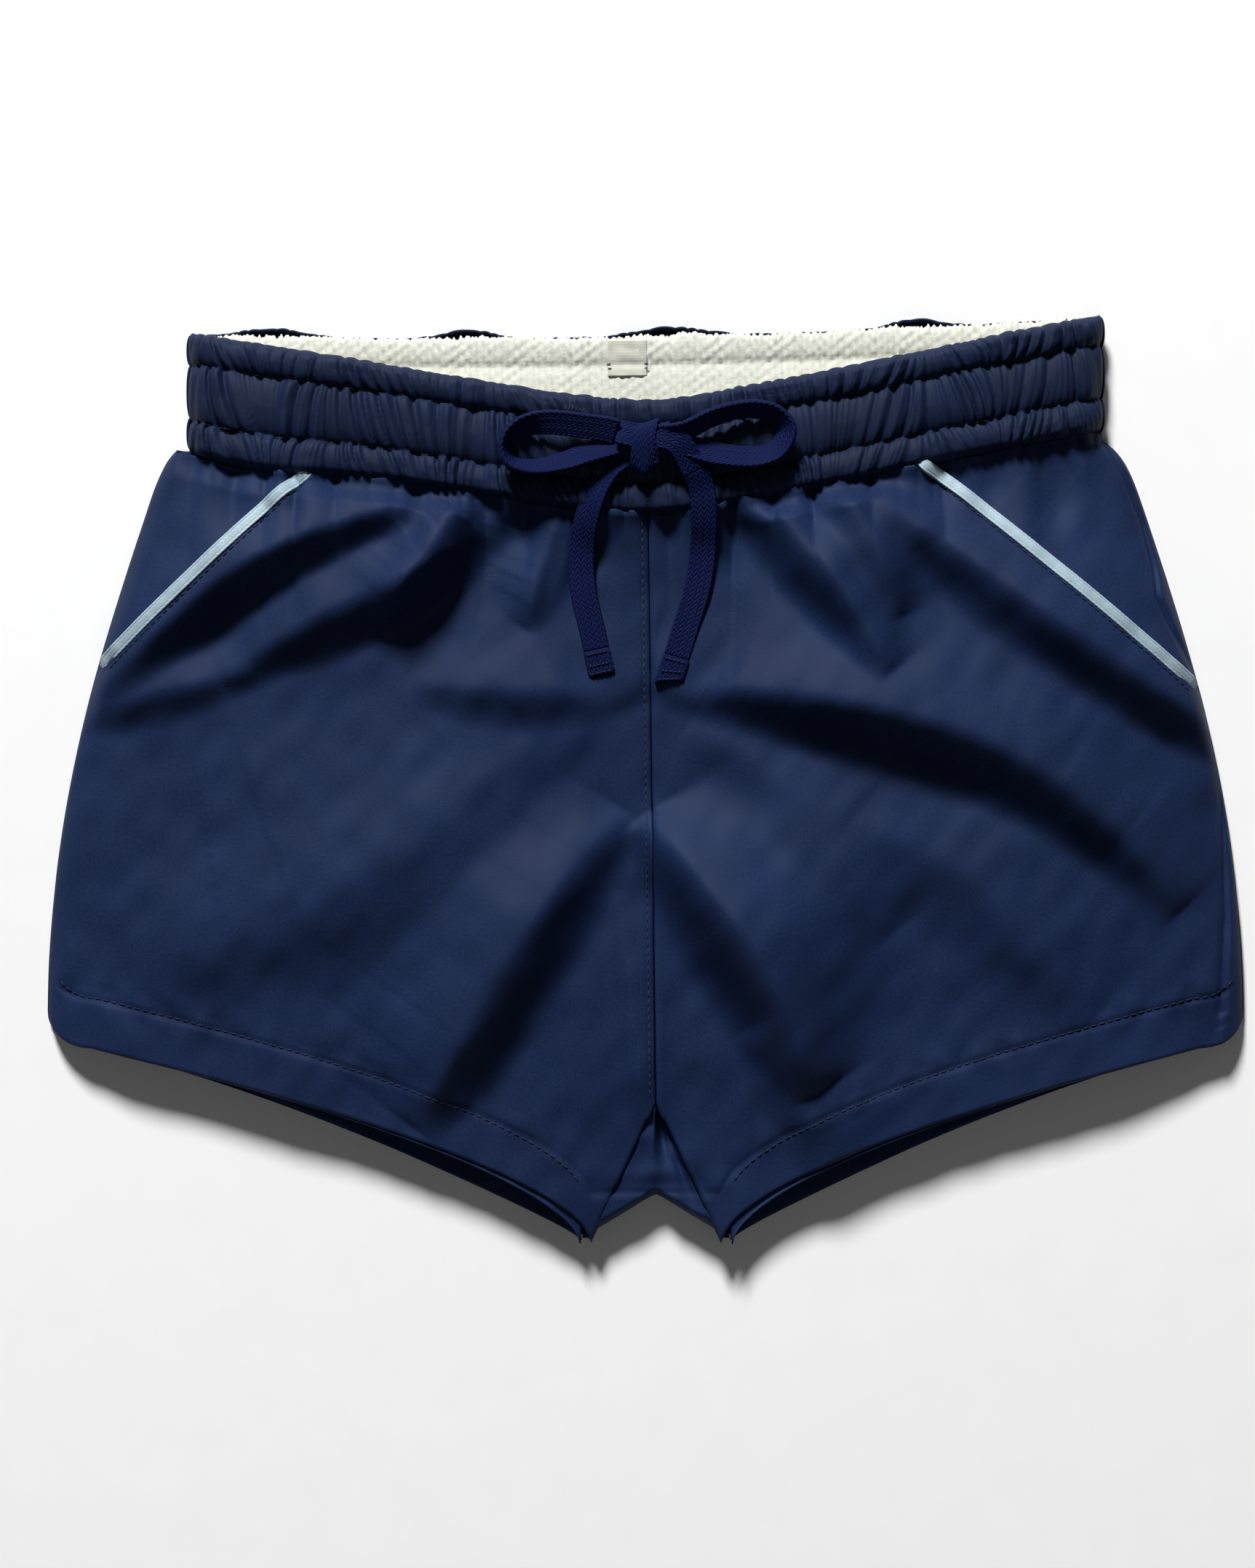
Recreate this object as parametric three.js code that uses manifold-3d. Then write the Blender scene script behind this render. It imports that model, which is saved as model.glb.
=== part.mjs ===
// Short drawcord sports shorts with slant pockets, lying flat on their back.
// Millimetres. +X to the right as seen from above, +Y towards the waistband, +Z up.
// The origin is at the centre of the footprint, on the surface the shorts lie on.
import * as THREE from 'three';
import { mergeVertices } from 'three/addons/utils/BufferGeometryUtils.js';
import Module from 'manifold-3d';

// ---- Outline ----
const length = 358; // higher waist corner to the lowest hem corner
const waistHalf = 176.5; // half of the relaxed waist, laid flat
const hemHalf = 231; // half of the spread at the outer hem corners
const waistTilt = 3.5; // the right waist corner lies higher by this, the left one lower
const frontDip = 30; // how far the waist's front edge dips at the centre
const dipRounding = 0.12; // share of the half waist over which that dip is rounded
const backDip = 4; // the same dip of the back edge
const bandDepth = 45;
const outerHemRise = 75; // lowest hem corner to the end of the hem's slope at the side
const hemCornerRise = 88; // lowest hem corner to the outer hem corner
const hemCornerInset = 17; // the hem's slope ends this far inside the outer corner
const crotchRise = 53; // lowest hem corner to the crotch junction
const crotchX = 4;
const innerHemReach = 25; // crotch centre line to each inner hem corner
const hemSlopeEnd = 0.94; // share of the hem that slopes; the rest is the rounded corner
const hemCurve = 0.6; // power of the slope's rise: steepest at the inner corner
const backHemDrop = 9; // how much lower the back hem hangs than the front hem
const hemHang = 3.5; // shapes that drop, most near the inner corner
const hemDepth = 21;
const foldAboveCrotch = 86; // crotch junction to the line across which the legs fold up

// ---- Thicknesses and heights ----
const cloth = 1.2;
const thinCloth = 0.8; // pocket bags and seam allowances
const gap = 0.3;
const casing = 2.4;
const elastic = 1.0;
const lining = 1.0;
const sideHeight = 5.5; // underside of the front cloth along the side seam
const bodyLoft = 9.5; // how much higher it lies inside
const bodyShoulder = 22; // width over which it rises
const crotchFlattening = 0.5; // share of the loft lost at the crotch
const crotchReach = 45; // radius of that flattening
const bandLoft = 8;
const bandShoulder = 25;
const channelPlay = 0.4; // more room over the drawcord inside the band
const sideClearance = 0.4; // between the front and back stacks at the band's sides
const nestClearance = 1.2; // more room under a curved layer for the layer nested in it

// ---- Waistband ----
const tiers = [0, 0.28, 0.74, 1]; // stitch rows, as shares of the depth from the lower edge
const tierCrease = 0.45; // casing thickness in a stitch row, as a share of the whole
const channelDrop = 0.49; // the drawcord's channel, as a share of the depth from the top
const innerInset = 7; // elastic and lining end this far inside the casing
const labelWidth = 15;
const labelHeight = 14;
const labelX = -7;

// ---- Pockets ----
const pocketTopInset = { left: 51, right: 71 }; // mouth's upper end, inside the side of the waist
const pocketTopDrop = 8.7; // that end, below the waistband's lower corner
const pocketFall = { left: 82.6, right: 90.6 }; // mouth's upper end down to its lower end
const facingUnder = 28; // how far the facing runs on beneath the front panel
const bagReach = 16; // bag's inner edge, inside the mouth's upper end
const bagAboveFold = 8;
const pipingRadius = 2.2;

// ---- Seams ----
const sideSeamWidth = 5;
const centreSeamWidth = 9;
const inseamWidth = 2.4;
const inseamStart = 12; // below the crotch junction
const gussetHeight = 3; // underside of the gusset above the surface
const gussetEnd = 18; // lowest hem corner to the gusset's lower edge

// ---- Drawcord ----
const cordWidth = 10;
const cordThickness = 1.8;
const cordSides = 8;
const knotRadii = [10.5, 8.5, 4.5];
const knotX = 2;
const knotAboveChannel = 4.7;
const holeOffset = 19; // knot centre to the middle of each buttonhole
const holeLength = 14;
const holeClearance = 0.8; // around the cord's width
const holeStitch = 2;
const holeRounding = 0.6; // corner radius, as a share of half the hole's shorter side
const tabLength = 10;
const tabThickness = 2.6;
const strandEnd = 1.7; // the channel's cord runs on this far past each buttonhole, to the knot
const strandDip = 0.55; // how far it has risen at the middle of the hole
const holeRuns = [5, 9]; // where it is level again, past the hole
const backRuns = [0, 2, 4, 10]; // points behind the side turn, in cord thicknesses
const channelShares = [0.3, 0.45, 0.6, 0.7, 0.78, 0.85, 0.9, 0.95, 0.98]; // points to the side

// ---- Derived levels ----
const bottom = -length / 2;
const cornerY = length / 2 - waistTilt;
const crotchY = bottom + crotchRise;
const foldY = crotchY + foldAboveCrotch;
const stack = casing + cordThickness + elastic + lining + 3 * gap;
const bandFloor = stack + sideClearance;
const seamGap = gap / 2;
const weld = 1e-4; // corners closer than this become one

const { lerp } = THREE.MathUtils;
const wasm = await Module();
wasm.setup();
const shorts = new THREE.Group();

// ---- Outline curves ----

function cornerLine(x) {
  return cornerY + (waistTilt * x) / waistHalf;
}

function frontTop(x) {
  const rounded = (reach) => Math.hypot(reach, dipRounding) - dipRounding;
  return cornerLine(x) - frontDip * (1 - rounded(x / waistHalf) / rounded(1));
}

function backTop(x) {
  return cornerLine(x) - backDip * (1 - (x / waistHalf) ** 2);
}

const frontSeam = (x) => frontTop(x) - bandDepth;
const backSeam = (x) => backTop(x) - bandDepth;

// Half of the body's width: the waist's below the band, spreading to the hem's.
function halfWidth(y) {
  const start = cornerY - bandDepth;
  const end = bottom + hemCornerRise;
  const down = THREE.MathUtils.clamp((start - y) / (start - end), 0, 1);
  return waistHalf + (hemHalf - waistHalf) * (1 - (1 - down) ** 2);
}

// The line of the centre seam, and below the crotch the inner edge of one leg.
function innerX(side, y) {
  const down = THREE.MathUtils.clamp((crotchY - y) / crotchRise, 0, 1);
  const seam = (crotchX * (cornerY - y)) / (cornerY - crotchY);
  return Math.min(seam, crotchX) + side * innerHemReach * down;
}

// The hem from the inner corner (along 0) to the outer corner (along 1), dropping by drop.
function hemPoint(side, along, drop) {
  const innerCorner = innerX(side, bottom);
  const slopeX = side * (hemHalf - hemCornerInset);
  if (along > hemSlopeEnd) {
    const round = ((along - hemSlopeEnd) / (1 - hemSlopeEnd)) * (Math.PI / 2);
    const x = slopeX + side * hemCornerInset * Math.sin(round);
    return [x, bottom + lerp(hemCornerRise, outerHemRise, Math.cos(round))];
  }
  const t = along / hemSlopeEnd;
  const hang = drop * hemHang * (1 - t) ** 2 * Math.sqrt(t);
  return [lerp(innerCorner, slopeX, t), bottom + outerHemRise * t ** hemCurve - hang];
}

// ---- Heights ----

// Underside of the front cloth.
function frontZ(x, y) {
  const fromSide = Math.max(halfWidth(y) - Math.abs(x), 0);
  const rise = 1 - Math.exp(-fromSide / bodyShoulder);
  const fromCrotch = Math.hypot(x - crotchX, y - bottom) / crotchReach;
  return sideHeight + bodyLoft * rise * (1 - crotchFlattening * Math.exp(-(fromCrotch ** 2)));
}

// Underside of the front half of the band.
function bandZ(x) {
  const fromSide = Math.max(waistHalf - Math.abs(x), 0);
  return bandFloor + bandLoft * (1 - Math.exp(-fromSide / bandShoulder));
}

const elasticZ = (x) => bandZ(x) + lining + gap;
const channelZ = (x) => elasticZ(x) + elastic + gap + cordThickness / 2;
const casingZ = (x) => channelZ(x) + cordThickness / 2 + gap + channelPlay;
const backChannelZ = casing + gap + cordThickness / 2;

// The casing's share of its full thickness at a share v of the band's depth.
function tierBulge(v) {
  const tier = v < tiers[1] ? 0 : v < tiers[2] ? 1 : 2;
  const across = (v - tiers[tier]) / (tiers[tier + 1] - tiers[tier]);
  return lerp(tierCrease, 1, Math.sin(Math.PI * across));
}

// ---- Making solids ----

function add(name, geometry, colour, roughness = 0.9) {
  const material = new THREE.MeshStandardMaterial({ color: colour, roughness, metalness: 0 });
  const mesh = new THREE.Mesh(geometry, material);
  mesh.name = name;
  shorts.add(mesh);
  return mesh;
}

function signedVolume(geometry) {
  const p = geometry.attributes.position;
  const [a, b, c] = [new THREE.Vector3(), new THREE.Vector3(), new THREE.Vector3()];
  let volume = 0;
  for (let i = 0; i < geometry.index.count; i += 3) {
    a.fromBufferAttribute(p, geometry.index.getX(i));
    b.fromBufferAttribute(p, geometry.index.getX(i + 1));
    c.fromBufferAttribute(p, geometry.index.getX(i + 2));
    volume += a.dot(b.cross(c)) / 6;
  }
  return volume;
}

// Turns every face round where a mirrored outline left them facing in.
function facingOut(geometry) {
  if (signedVolume(geometry) > 0) return geometry;
  const index = geometry.index.array;
  for (let i = 0; i < index.length; i += 3) {
    [index[i + 1], index[i + 2]] = [index[i + 2], index[i + 1]];
  }
  return geometry;
}

// A closed layer: outline(u, v) gives x and y, levels(x, y, v) its underside and top.
function layer(columns, rows, outline, levels) {
  const geometry = new THREE.BoxGeometry(1, 1, 1, columns, rows, 1);
  const p = geometry.attributes.position;
  for (let i = 0; i < p.count; i += 1) {
    const v = p.getY(i) + 0.5;
    const [x, y] = outline(p.getX(i) + 0.5, v);
    const [under, over] = levels(x, y, v);
    p.setXYZ(i, x, y, p.getZ(i) < 0 ? under : over);
  }
  return facingOut(geometry);
}

// The patch between four curves; each gives [x, y] for a share from 0 to 1.
function patch(lower, upper, inner, outer) {
  return (u, v) => [0, 1].map((k) => {
    const alongRows = lerp(lower(u)[k], upper(u)[k], v);
    const alongColumns = lerp(inner(v)[k], outer(v)[k], u);
    const corners = lerp(lerp(lower(0)[k], lower(1)[k], u), lerp(upper(0)[k], upper(1)[k], u), v);
    return alongRows + alongColumns - corners;
  });
}

// A patch whose inner and outer edges are x as functions of y, between two end curves.
function strip(edgeIn, edgeOut, lower, upper) {
  const run = (edge, u) => (v) => {
    const y = lerp(lower(u)[1], upper(u)[1], v);
    return [edge(y), y];
  };
  return patch(lower, upper, run(edgeIn, 0), run(edgeOut, 1));
}

// An end curve that follows y = level(x) from the inner to the outer edge.
function rowAt(level, xIn, xOut) {
  return (u) => {
    const x = lerp(xIn, xOut, u);
    return [x, level(x)];
  };
}

const thick = (under, thickness) => (x, y) => [under(x, y), under(x, y) + thickness];
const flat = (under, thickness) => () => [under, under + thickness];
const beneathFront = (depth) => (x, y) => frontZ(x, y) - nestClearance - depth;

// A flat or round cord: an even-sided section run along a smooth curve. The first half
// size lies along the curve's own normal at its start, the second across that.
function tube(points, steps, halfAlong, halfAcross, sides) {
  const section = new THREE.Shape();
  for (let i = 0; i < sides; i += 1) {
    const angle = ((i + 0.5) / sides) * 2 * Math.PI;
    const [px, py] = [halfAlong * Math.cos(angle), halfAcross * Math.sin(angle)];
    if (i === 0) section.moveTo(px, py);
    else section.lineTo(px, py);
  }
  section.closePath();
  const extrudePath = new THREE.CatmullRomCurve3(points.map((p) => new THREE.Vector3(...p)));
  const geometry = new THREE.ExtrudeGeometry(section, { steps, bevelEnabled: false, extrudePath });
  geometry.deleteAttribute('normal');
  geometry.deleteAttribute('uv');
  return facingOut(mergeVertices(geometry, weld));
}

// ---- Boolean cuts ----

function solid(geometry) {
  const bare = geometry.clone();
  bare.deleteAttribute('normal');
  bare.deleteAttribute('uv');
  const merged = mergeVertices(bare, weld);
  const vertProperties = new Float32Array(merged.attributes.position.array);
  const triVerts = new Uint32Array(merged.index.array);
  return new wasm.Manifold(new wasm.Mesh({ numProp: 3, vertProperties, triVerts }));
}

function fromSolid(body) {
  const { vertProperties, triVerts } = body.getMesh();
  const geometry = new THREE.BufferGeometry();
  geometry.setAttribute('position', new THREE.BufferAttribute(vertProperties, 3));
  geometry.setIndex(new THREE.BufferAttribute(triVerts, 1));
  return geometry;
}

// ---- Colours ----
const navy = 0x1e2c48;
const darkNavy = 0x192031;
const cordBlue = 0x0f1637;
const cream = 0xebeee1;
const paleBlue = 0x9db3c1;
const bagGrey = 0x39425a;

// ---- Waistband: casing, elastic and lining, each in a front and a back half ----

function bandLayer(name, colour, columns, rows, half, edges, levels) {
  const [lowerEdge, upperEdge] = edges;
  const [lower, upper] = [lowerEdge, upperEdge].map((edge) => rowAt(edge, -half, half));
  const outline = strip(() => -half, () => half, lower, upper);
  return add(name, layer(columns, rows, outline, levels), colour);
}

const knotY = frontTop(knotX) - channelDrop * bandDepth + knotAboveChannel;
const holeY = knotY - knotAboveChannel;
const innerHalf = waistHalf - innerInset;
const frontEdges = [frontSeam, frontTop];
const backEdges = [backSeam, backTop];

function holeCentre(side) {
  const x = knotX + side * holeOffset;
  return new THREE.Vector3(x, holeY, casingZ(x));
}

function waistband() {
  const frontCasing = bandLayer('waist_casing_front', darkNavy, 24, 12, waistHalf, frontEdges,
    (x, y, v) => [casingZ(x), casingZ(x) + casing * tierBulge(v)]);
  let cut = solid(frontCasing.geometry);
  for (const side of [-1, 1]) {
    const hole = new THREE.BoxGeometry(holeLength, cordWidth + 2 * holeClearance, 6 * casing);
    const at = holeCentre(side);
    hole.translate(at.x, at.y, at.z);
    cut = cut.subtract(solid(hole));
  }
  frontCasing.geometry = fromSolid(cut);
  bandLayer('waist_casing_back', darkNavy, 14, 12, waistHalf, backEdges,
    (x, y, v) => [casing * (1 - tierBulge(v)), casing]);
  bandLayer('waist_elastic_front', cream, 20, 1, innerHalf, frontEdges, thick(elasticZ, elastic));
  bandLayer('waist_elastic_back', cream, 8, 1, innerHalf, backEdges,
    flat(backChannelZ + cordThickness / 2 + gap, elastic));
  bandLayer('waist_lining_front', cream, 20, 1, innerHalf, frontEdges, thick(bandZ, lining));
  bandLayer('waist_lining_back', cream, 8, 1, innerHalf, backEdges, flat(stack - lining, lining));
}

function blankLabel() {
  const top = (x) => backTop(x) - 2;
  const outline = strip(() => labelX - labelWidth / 2, () => labelX + labelWidth / 2,
    rowAt((x) => top(x) - labelHeight, labelX - labelWidth / 2, labelX + labelWidth / 2),
    rowAt(top, labelX - labelWidth / 2, labelX + labelWidth / 2));
  add('size_label', layer(2, 2, outline, flat(stack + gap, thinCloth / 2)), cream);
}

// ---- Drawcord: in its channel round the waist, then the bow in front ----

// A flat cord whose width stays along Y, on a smooth line through the points.
function ribbon(points, steps, width, thickness) {
  const line = new THREE.CatmullRomCurve3(points.map((p) => new THREE.Vector3(...p)));
  const geometry = new THREE.BoxGeometry(1, 1, 1, steps, 1, 1);
  const p = geometry.attributes.position;
  for (let i = 0; i < p.count; i += 1) {
    const share = p.getX(i) + 0.5;
    const at = line.getPointAt(share);
    const along = line.getTangentAt(share);
    const flatRun = Math.hypot(along.x, along.z);
    const off = p.getZ(i) * thickness;
    p.setXYZ(i, at.x - (along.z / flatRun) * off, at.y + p.getY(i) * width, at.z + (along.x / flatRun) * off);
  }
  return facingOut(geometry);
}

// The length of cord inside the casing: from behind the knot in at the left buttonhole,
// round the back of the waist, and out again at the right one.
function channelCord() {
  const frontMid = (x) => frontTop(x) - channelDrop * bandDepth;
  const backMid = (x) => backTop(x) - channelDrop * bandDepth;
  const wrap = waistHalf - casing / 2 - cordThickness / 2;
  const turn = innerHalf + cordThickness + 2 * gap;
  const front = (x) => [x, frontMid(x), channelZ(x)];
  const back = (x) => [x, backMid(x), backChannelZ];
  const half = holeLength / 2;
  const above = knotLevel() - knotRadii[2] + thinCloth + cordThickness / 2 + 3 * gap;
  const hole = (side) => {
    const x = (reach) => knotX + side * reach;
    const under = channelZ(x(holeOffset));
    return [
      [x(holeOffset - half - strandEnd), holeY, above],
      [x(holeOffset - half), holeY, above],
      [x(holeOffset), holeY, lerp(under, above, strandDip)],
      [x(holeOffset + half - cordThickness), holeY, under + gap],
      ...holeRuns.map((run) => front(x(holeOffset + half + run))),
    ];
  };
  const sideTurn = (side) => [
    front(side * turn),
    [side * wrap, frontMid(side * wrap), (channelZ(side * wrap) + backChannelZ) / 2],
    ...backRuns.map((run) => back(side * (turn - run * cordThickness))),
  ];
  const frontRun = (side) => channelShares.map((share) => front(side * share * turn));
  const middle = [0.6, 0.2, -0.2, -0.6].map((share) => share * turn);
  const route = [
    ...hole(-1),
    ...frontRun(-1),
    ...sideTurn(-1),
    ...middle.map((x) => back(-x)),
    ...sideTurn(1).reverse(),
    ...frontRun(1).reverse(),
    ...hole(1).reverse(),
  ];
  add('drawcord_in_channel', ribbon(route, 120, cordWidth, cordThickness), cordBlue);
}

function knotLevel() {
  return casingZ(knotX) + casing + gap + knotRadii[2];
}

// A flat ring of stitching round each buttonhole, with rounded corners.
function buttonhole(name, side) {
  const oval = (inside) => {
    const [hx, hy] = [holeLength / 2 + inside, cordWidth / 2 + holeClearance + inside];
    const shape = new THREE.Path();
    const corner = Math.min(hx, hy) * holeRounding;
    shape.moveTo(hx, -hy + corner);
    shape.lineTo(hx, hy - corner);
    shape.quadraticCurveTo(hx, hy, hx - corner, hy);
    shape.lineTo(-hx + corner, hy);
    shape.quadraticCurveTo(-hx, hy, -hx, hy - corner);
    shape.lineTo(-hx, -hy + corner);
    shape.quadraticCurveTo(-hx, -hy, -hx + corner, -hy);
    shape.lineTo(hx - corner, -hy);
    shape.quadraticCurveTo(hx, -hy, hx, -hy + corner);
    return shape.getPoints(2);
  };
  const ring = new THREE.Shape(oval(holeStitch));
  ring.holes.push(new THREE.Path(oval(0)));
  const geometry = new THREE.ExtrudeGeometry(ring, { depth: thinCloth, bevelEnabled: false });
  const mesh = add(name, geometry, darkNavy);
  mesh.position.copy(holeCentre(side));
  mesh.position.z = casingZ(knotX) + casing + gap;
}

// The bow's own routes are measured from the middle of the knot.
const leftLoop = [
  [-12.8, 3.4, 2.4], [-17, 4.6, 2.4], [-26.5, 6, 2], [-37.7, 7.3, 1.3], [-47.5, 6.4, 0.6],
  [-53.7, 2.5, 0.1], [-55.3, -2.6, -0.1], [-52.8, -7.6, -0.2], [-44.7, -9.6, -0.2], [-33.5, -7.6, -0.2],
  [-24, -4.2, -0.2], [-12.8, -0.6, -0.2],
];
const rightLoop = [
  [12.8, 4, 2.4], [17, 6, 2.4], [22.5, 8.8, 2], [31, 11.6, 1.3], [40.2, 12.4, 0.6],
  [47.6, 10.2, 0.1], [51.6, 4.2, -0.1], [47.6, -3.2, -0.2], [38.4, -5.8, -0.2], [24.8, -4.6, -0.2],
  [18.5, -3, -0.2], [12.8, -1.4, -0.2],
];
const leftTail = [
  [-4.6, -10.6, -3.3], [-5, -14, -3.3], [-9, -19, -3.3], [-15, -23.2, -3.3], [-20.5, -27, -3.8],
  [-24.6, -32.2, -5.7], [-26.5, -39.5, -8.6], [-26.7, -48, -9.4], [-25.7, -58, -9.4],
  [-23, -69.2, -9.4], [-20.8, -79.2, -9.4],
];
const rightTail = [
  [6.5, -10.6, -3.3], [7, -14, -3.3], [10.5, -19, -3.3], [15.4, -24, -3.4], [18.8, -30, -5],
  [20, -38.5, -8.3], [19.3, -47, -9.4], [17.4, -57, -9.4], [14, -68, -9.4], [9.7, -82, -9.4],
];

// The folded, stitched end of a tail: a slab in line with its last stretch.
function cordEnd(name, route, group) {
  const last = new THREE.Vector3(...route.at(-1));
  const before = new THREE.Vector3(...route.at(-2));
  const along = last.clone().sub(before).normalize();
  const slab = new THREE.BoxGeometry(cordWidth, tabLength, tabThickness, 2, 2, 1);
  const mesh = add(name, slab, cordBlue);
  mesh.position.copy(last).addScaledVector(along, tabLength / 2 + 2 * gap);
  mesh.position.z += (tabThickness - cordThickness) / 2;
  mesh.rotation.z = Math.atan2(along.y, along.x) - Math.PI / 2;
  group.add(mesh);
}

function bow() {
  const group = new THREE.Group();
  group.position.set(knotX, knotY, knotLevel());
  shorts.add(group);
  const knot = new THREE.SphereGeometry(1, 16, 10);
  knot.scale(...knotRadii);
  group.add(add('bow_knot', knot, cordBlue));
  const cord = (name, route, steps) =>
    group.add(add(name, tube(route, steps, cordThickness / 2, cordWidth / 2, cordSides), cordBlue));
  cord('bow_loop_left', leftLoop, 26);
  cord('bow_loop_right', rightLoop, 26);
  cord('cord_tail_left', leftTail, 24);
  cord('cord_tail_right', rightTail, 24);
  cordEnd('cord_end_left', leftTail, group);
  cordEnd('cord_end_right', rightTail, group);
}

// ---- Body, pockets, hems and seams, one side at a time (side -1 is left) ----

function sideParts(side, word) {
  const edge = (inset) => (y) => side * (halfWidth(y) - inset);
  const centre = (inset) => (y) => innerX(side, y) + side * inset;
  const mouthTopX = waistHalf - pocketTopInset[word];
  const mouthTopY = cornerY - bandDepth - pocketTopDrop;
  const mouthEndY = mouthTopY - pocketFall[word];
  const mouthEndX = halfWidth(mouthEndY);
  const mouth = (y, inset) => {
    const x = lerp(mouthEndX, mouthTopX, (y - mouthEndY) / (mouthTopY - mouthEndY));
    return side * (Math.min(x, halfWidth(y)) - inset);
  };
  const seamRow = (xIn, xOut, seam, drop) => rowAt((x) => seam(x) - drop, xIn, xOut);
  const foldRow = (y, edgeIn, edgeOut) => rowAt(() => y, edgeIn(y), edgeOut(y));
  const hemRow = (drop, lift, inset) => (u) => {
    const [x, y] = hemPoint(side, u, drop);
    const shift = side * inset * (1 - 2 * u);
    return [x + shift, y + lift];
  };

  // Where the line of the mouth meets the waist seam.
  let mouthSeamX = mouthTopX;
  for (let i = 0; i < 30; i += 1) mouthSeamX = Math.abs(mouth(frontSeam(side * mouthSeamX), 0));

  const aboveFold = foldY + seamGap;
  const belowFold = foldY - seamGap;
  const lowerIn = centre(seamGap);

  // The front panel, cut away along the pocket mouth, and the front of the leg.
  const panelEdge = (y) => mouth(y, 0);
  add(`front_panel_${word}`, layer(12, 9, strip(lowerIn, panelEdge, foldRow(aboveFold, lowerIn, panelEdge),
    seamRow(lowerIn(frontSeam(0)), side * mouthSeamX, frontSeam, gap)), thick(frontZ, cloth)), navy);
  add(`front_leg_${word}`, layer(12, 8, strip(lowerIn, edge(0), hemRow(0, 0, seamGap),
    foldRow(belowFold, lowerIn, edge(0))), thick(frontZ, cloth)), navy);

  // The back panel and the back of the leg lie on the surface.
  add(`back_panel_${word}`, layer(6, 6, strip(lowerIn, edge(0), foldRow(aboveFold, lowerIn, edge(0)),
    seamRow(lowerIn(backSeam(0)), side * waistHalf, backSeam, gap)), flat(0, cloth)), navy);
  add(`back_leg_${word}`, layer(12, 6, strip(lowerIn, edge(0), hemRow(backHemDrop, 0, seamGap),
    foldRow(belowFold, lowerIn, edge(0))), flat(0, cloth)), navy);

  // The hems' turned-up layers, inside the front and the back of the leg.
  const hemInset = sideSeamWidth + inseamWidth + gap;
  const hem = (name, drop, levels) => {
    const lower = hemRow(drop, gap, hemInset);
    const upper = hemRow(drop, hemDepth, hemInset);
    const outline = (u, v) => [0, 1].map((k) => lerp(lower(u)[k], upper(u)[k], v));
    add(name, layer(14, 1, outline, levels), navy);
  };
  hem(`hem_front_${word}`, 0, thick(beneathFront(cloth), cloth));
  hem(`hem_back_${word}`, backHemDrop, flat(cloth + gap, cloth));

  // Side seam allowance, above and below the fold.
  const seamIn = edge(sideSeamWidth);
  const sideLevels = (x, y) => [cloth + gap, Math.min(frontZ(x, y), sideHeight) - gap];
  const sideTop = seamRow(side * (waistHalf - sideSeamWidth), side * waistHalf, backSeam, gap);
  add(`side_seam_${word}`, layer(1, 8, strip(seamIn, edge(0), foldRow(aboveFold, seamIn, edge(0)),
    sideTop), sideLevels), navy);
  const cornerRow = (x, y) => rowAt(() => y, x(y), edge(0)(y));
  add(`side_seam_leg_${word}`, layer(1, 3, strip(seamIn, edge(0), cornerRow(seamIn, bottom + hemCornerRise),
    foldRow(belowFold, seamIn, edge(0))), sideLevels), navy);

  // Inseam allowance, joining front and back along the inner edge of the leg.
  const inseamY = [bottom + 3 * gap, crotchY - inseamStart];
  const inseamOut = centre(inseamWidth);
  add(`inseam_${word}`, layer(1, 4, strip(lowerIn, inseamOut, foldRow(inseamY[0], lowerIn, inseamOut),
    foldRow(inseamY[1], lowerIn, inseamOut)), (x, y) => [cloth + gap, frontZ(x, y) - gap]), navy);

  // Pocket: the facing and the bag's back lie low, the bag's front hangs under the panel.
  const bagBottom = foldY + bagAboveFold;
  const bagIn = () => side * (mouthTopX - bagReach);
  const bagOut = edge(sideSeamWidth + gap);
  const bagBackTop = seamRow(bagIn(), side * (waistHalf - sideSeamWidth - gap), frontSeam, gap);
  add(`pocket_bag_back_${word}`, layer(4, 6, strip(bagIn, bagOut, foldRow(bagBottom, bagIn, bagOut),
    bagBackTop), flat(cloth + gap, thinCloth)), bagGrey);
  const facingIn = (y) => mouth(y, facingUnder);
  const facingLow = mouthEndY - facingUnder / 2;
  const facingTopX = Math.abs(facingIn(frontSeam(side * (mouthSeamX - facingUnder))));
  add(`pocket_facing_${word}`, layer(6, 7, strip(facingIn, bagOut, foldRow(facingLow, facingIn, bagOut),
    seamRow(side * facingTopX, side * (waistHalf - sideSeamWidth - gap), frontSeam, gap)),
  flat(cloth + thinCloth + 2 * gap, cloth)), navy);
  const bagFrontOut = (y) => side * Math.min(Math.abs(mouth(y, 2 * pipingRadius)), Math.abs(bagOut(y)));
  const bagFrontTopX = Math.abs(bagFrontOut(frontSeam(side * mouthSeamX)));
  const bagFrontTop = seamRow(bagIn(), side * bagFrontTopX, frontSeam, gap);
  const bagFrontLow = foldRow(bagBottom, bagIn, bagFrontOut);
  add(`pocket_bag_front_${word}`, layer(4, 6, strip(bagIn, bagFrontOut, bagFrontLow, bagFrontTop),
    thick(beneathFront(thinCloth), thinCloth)), bagGrey);

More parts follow.
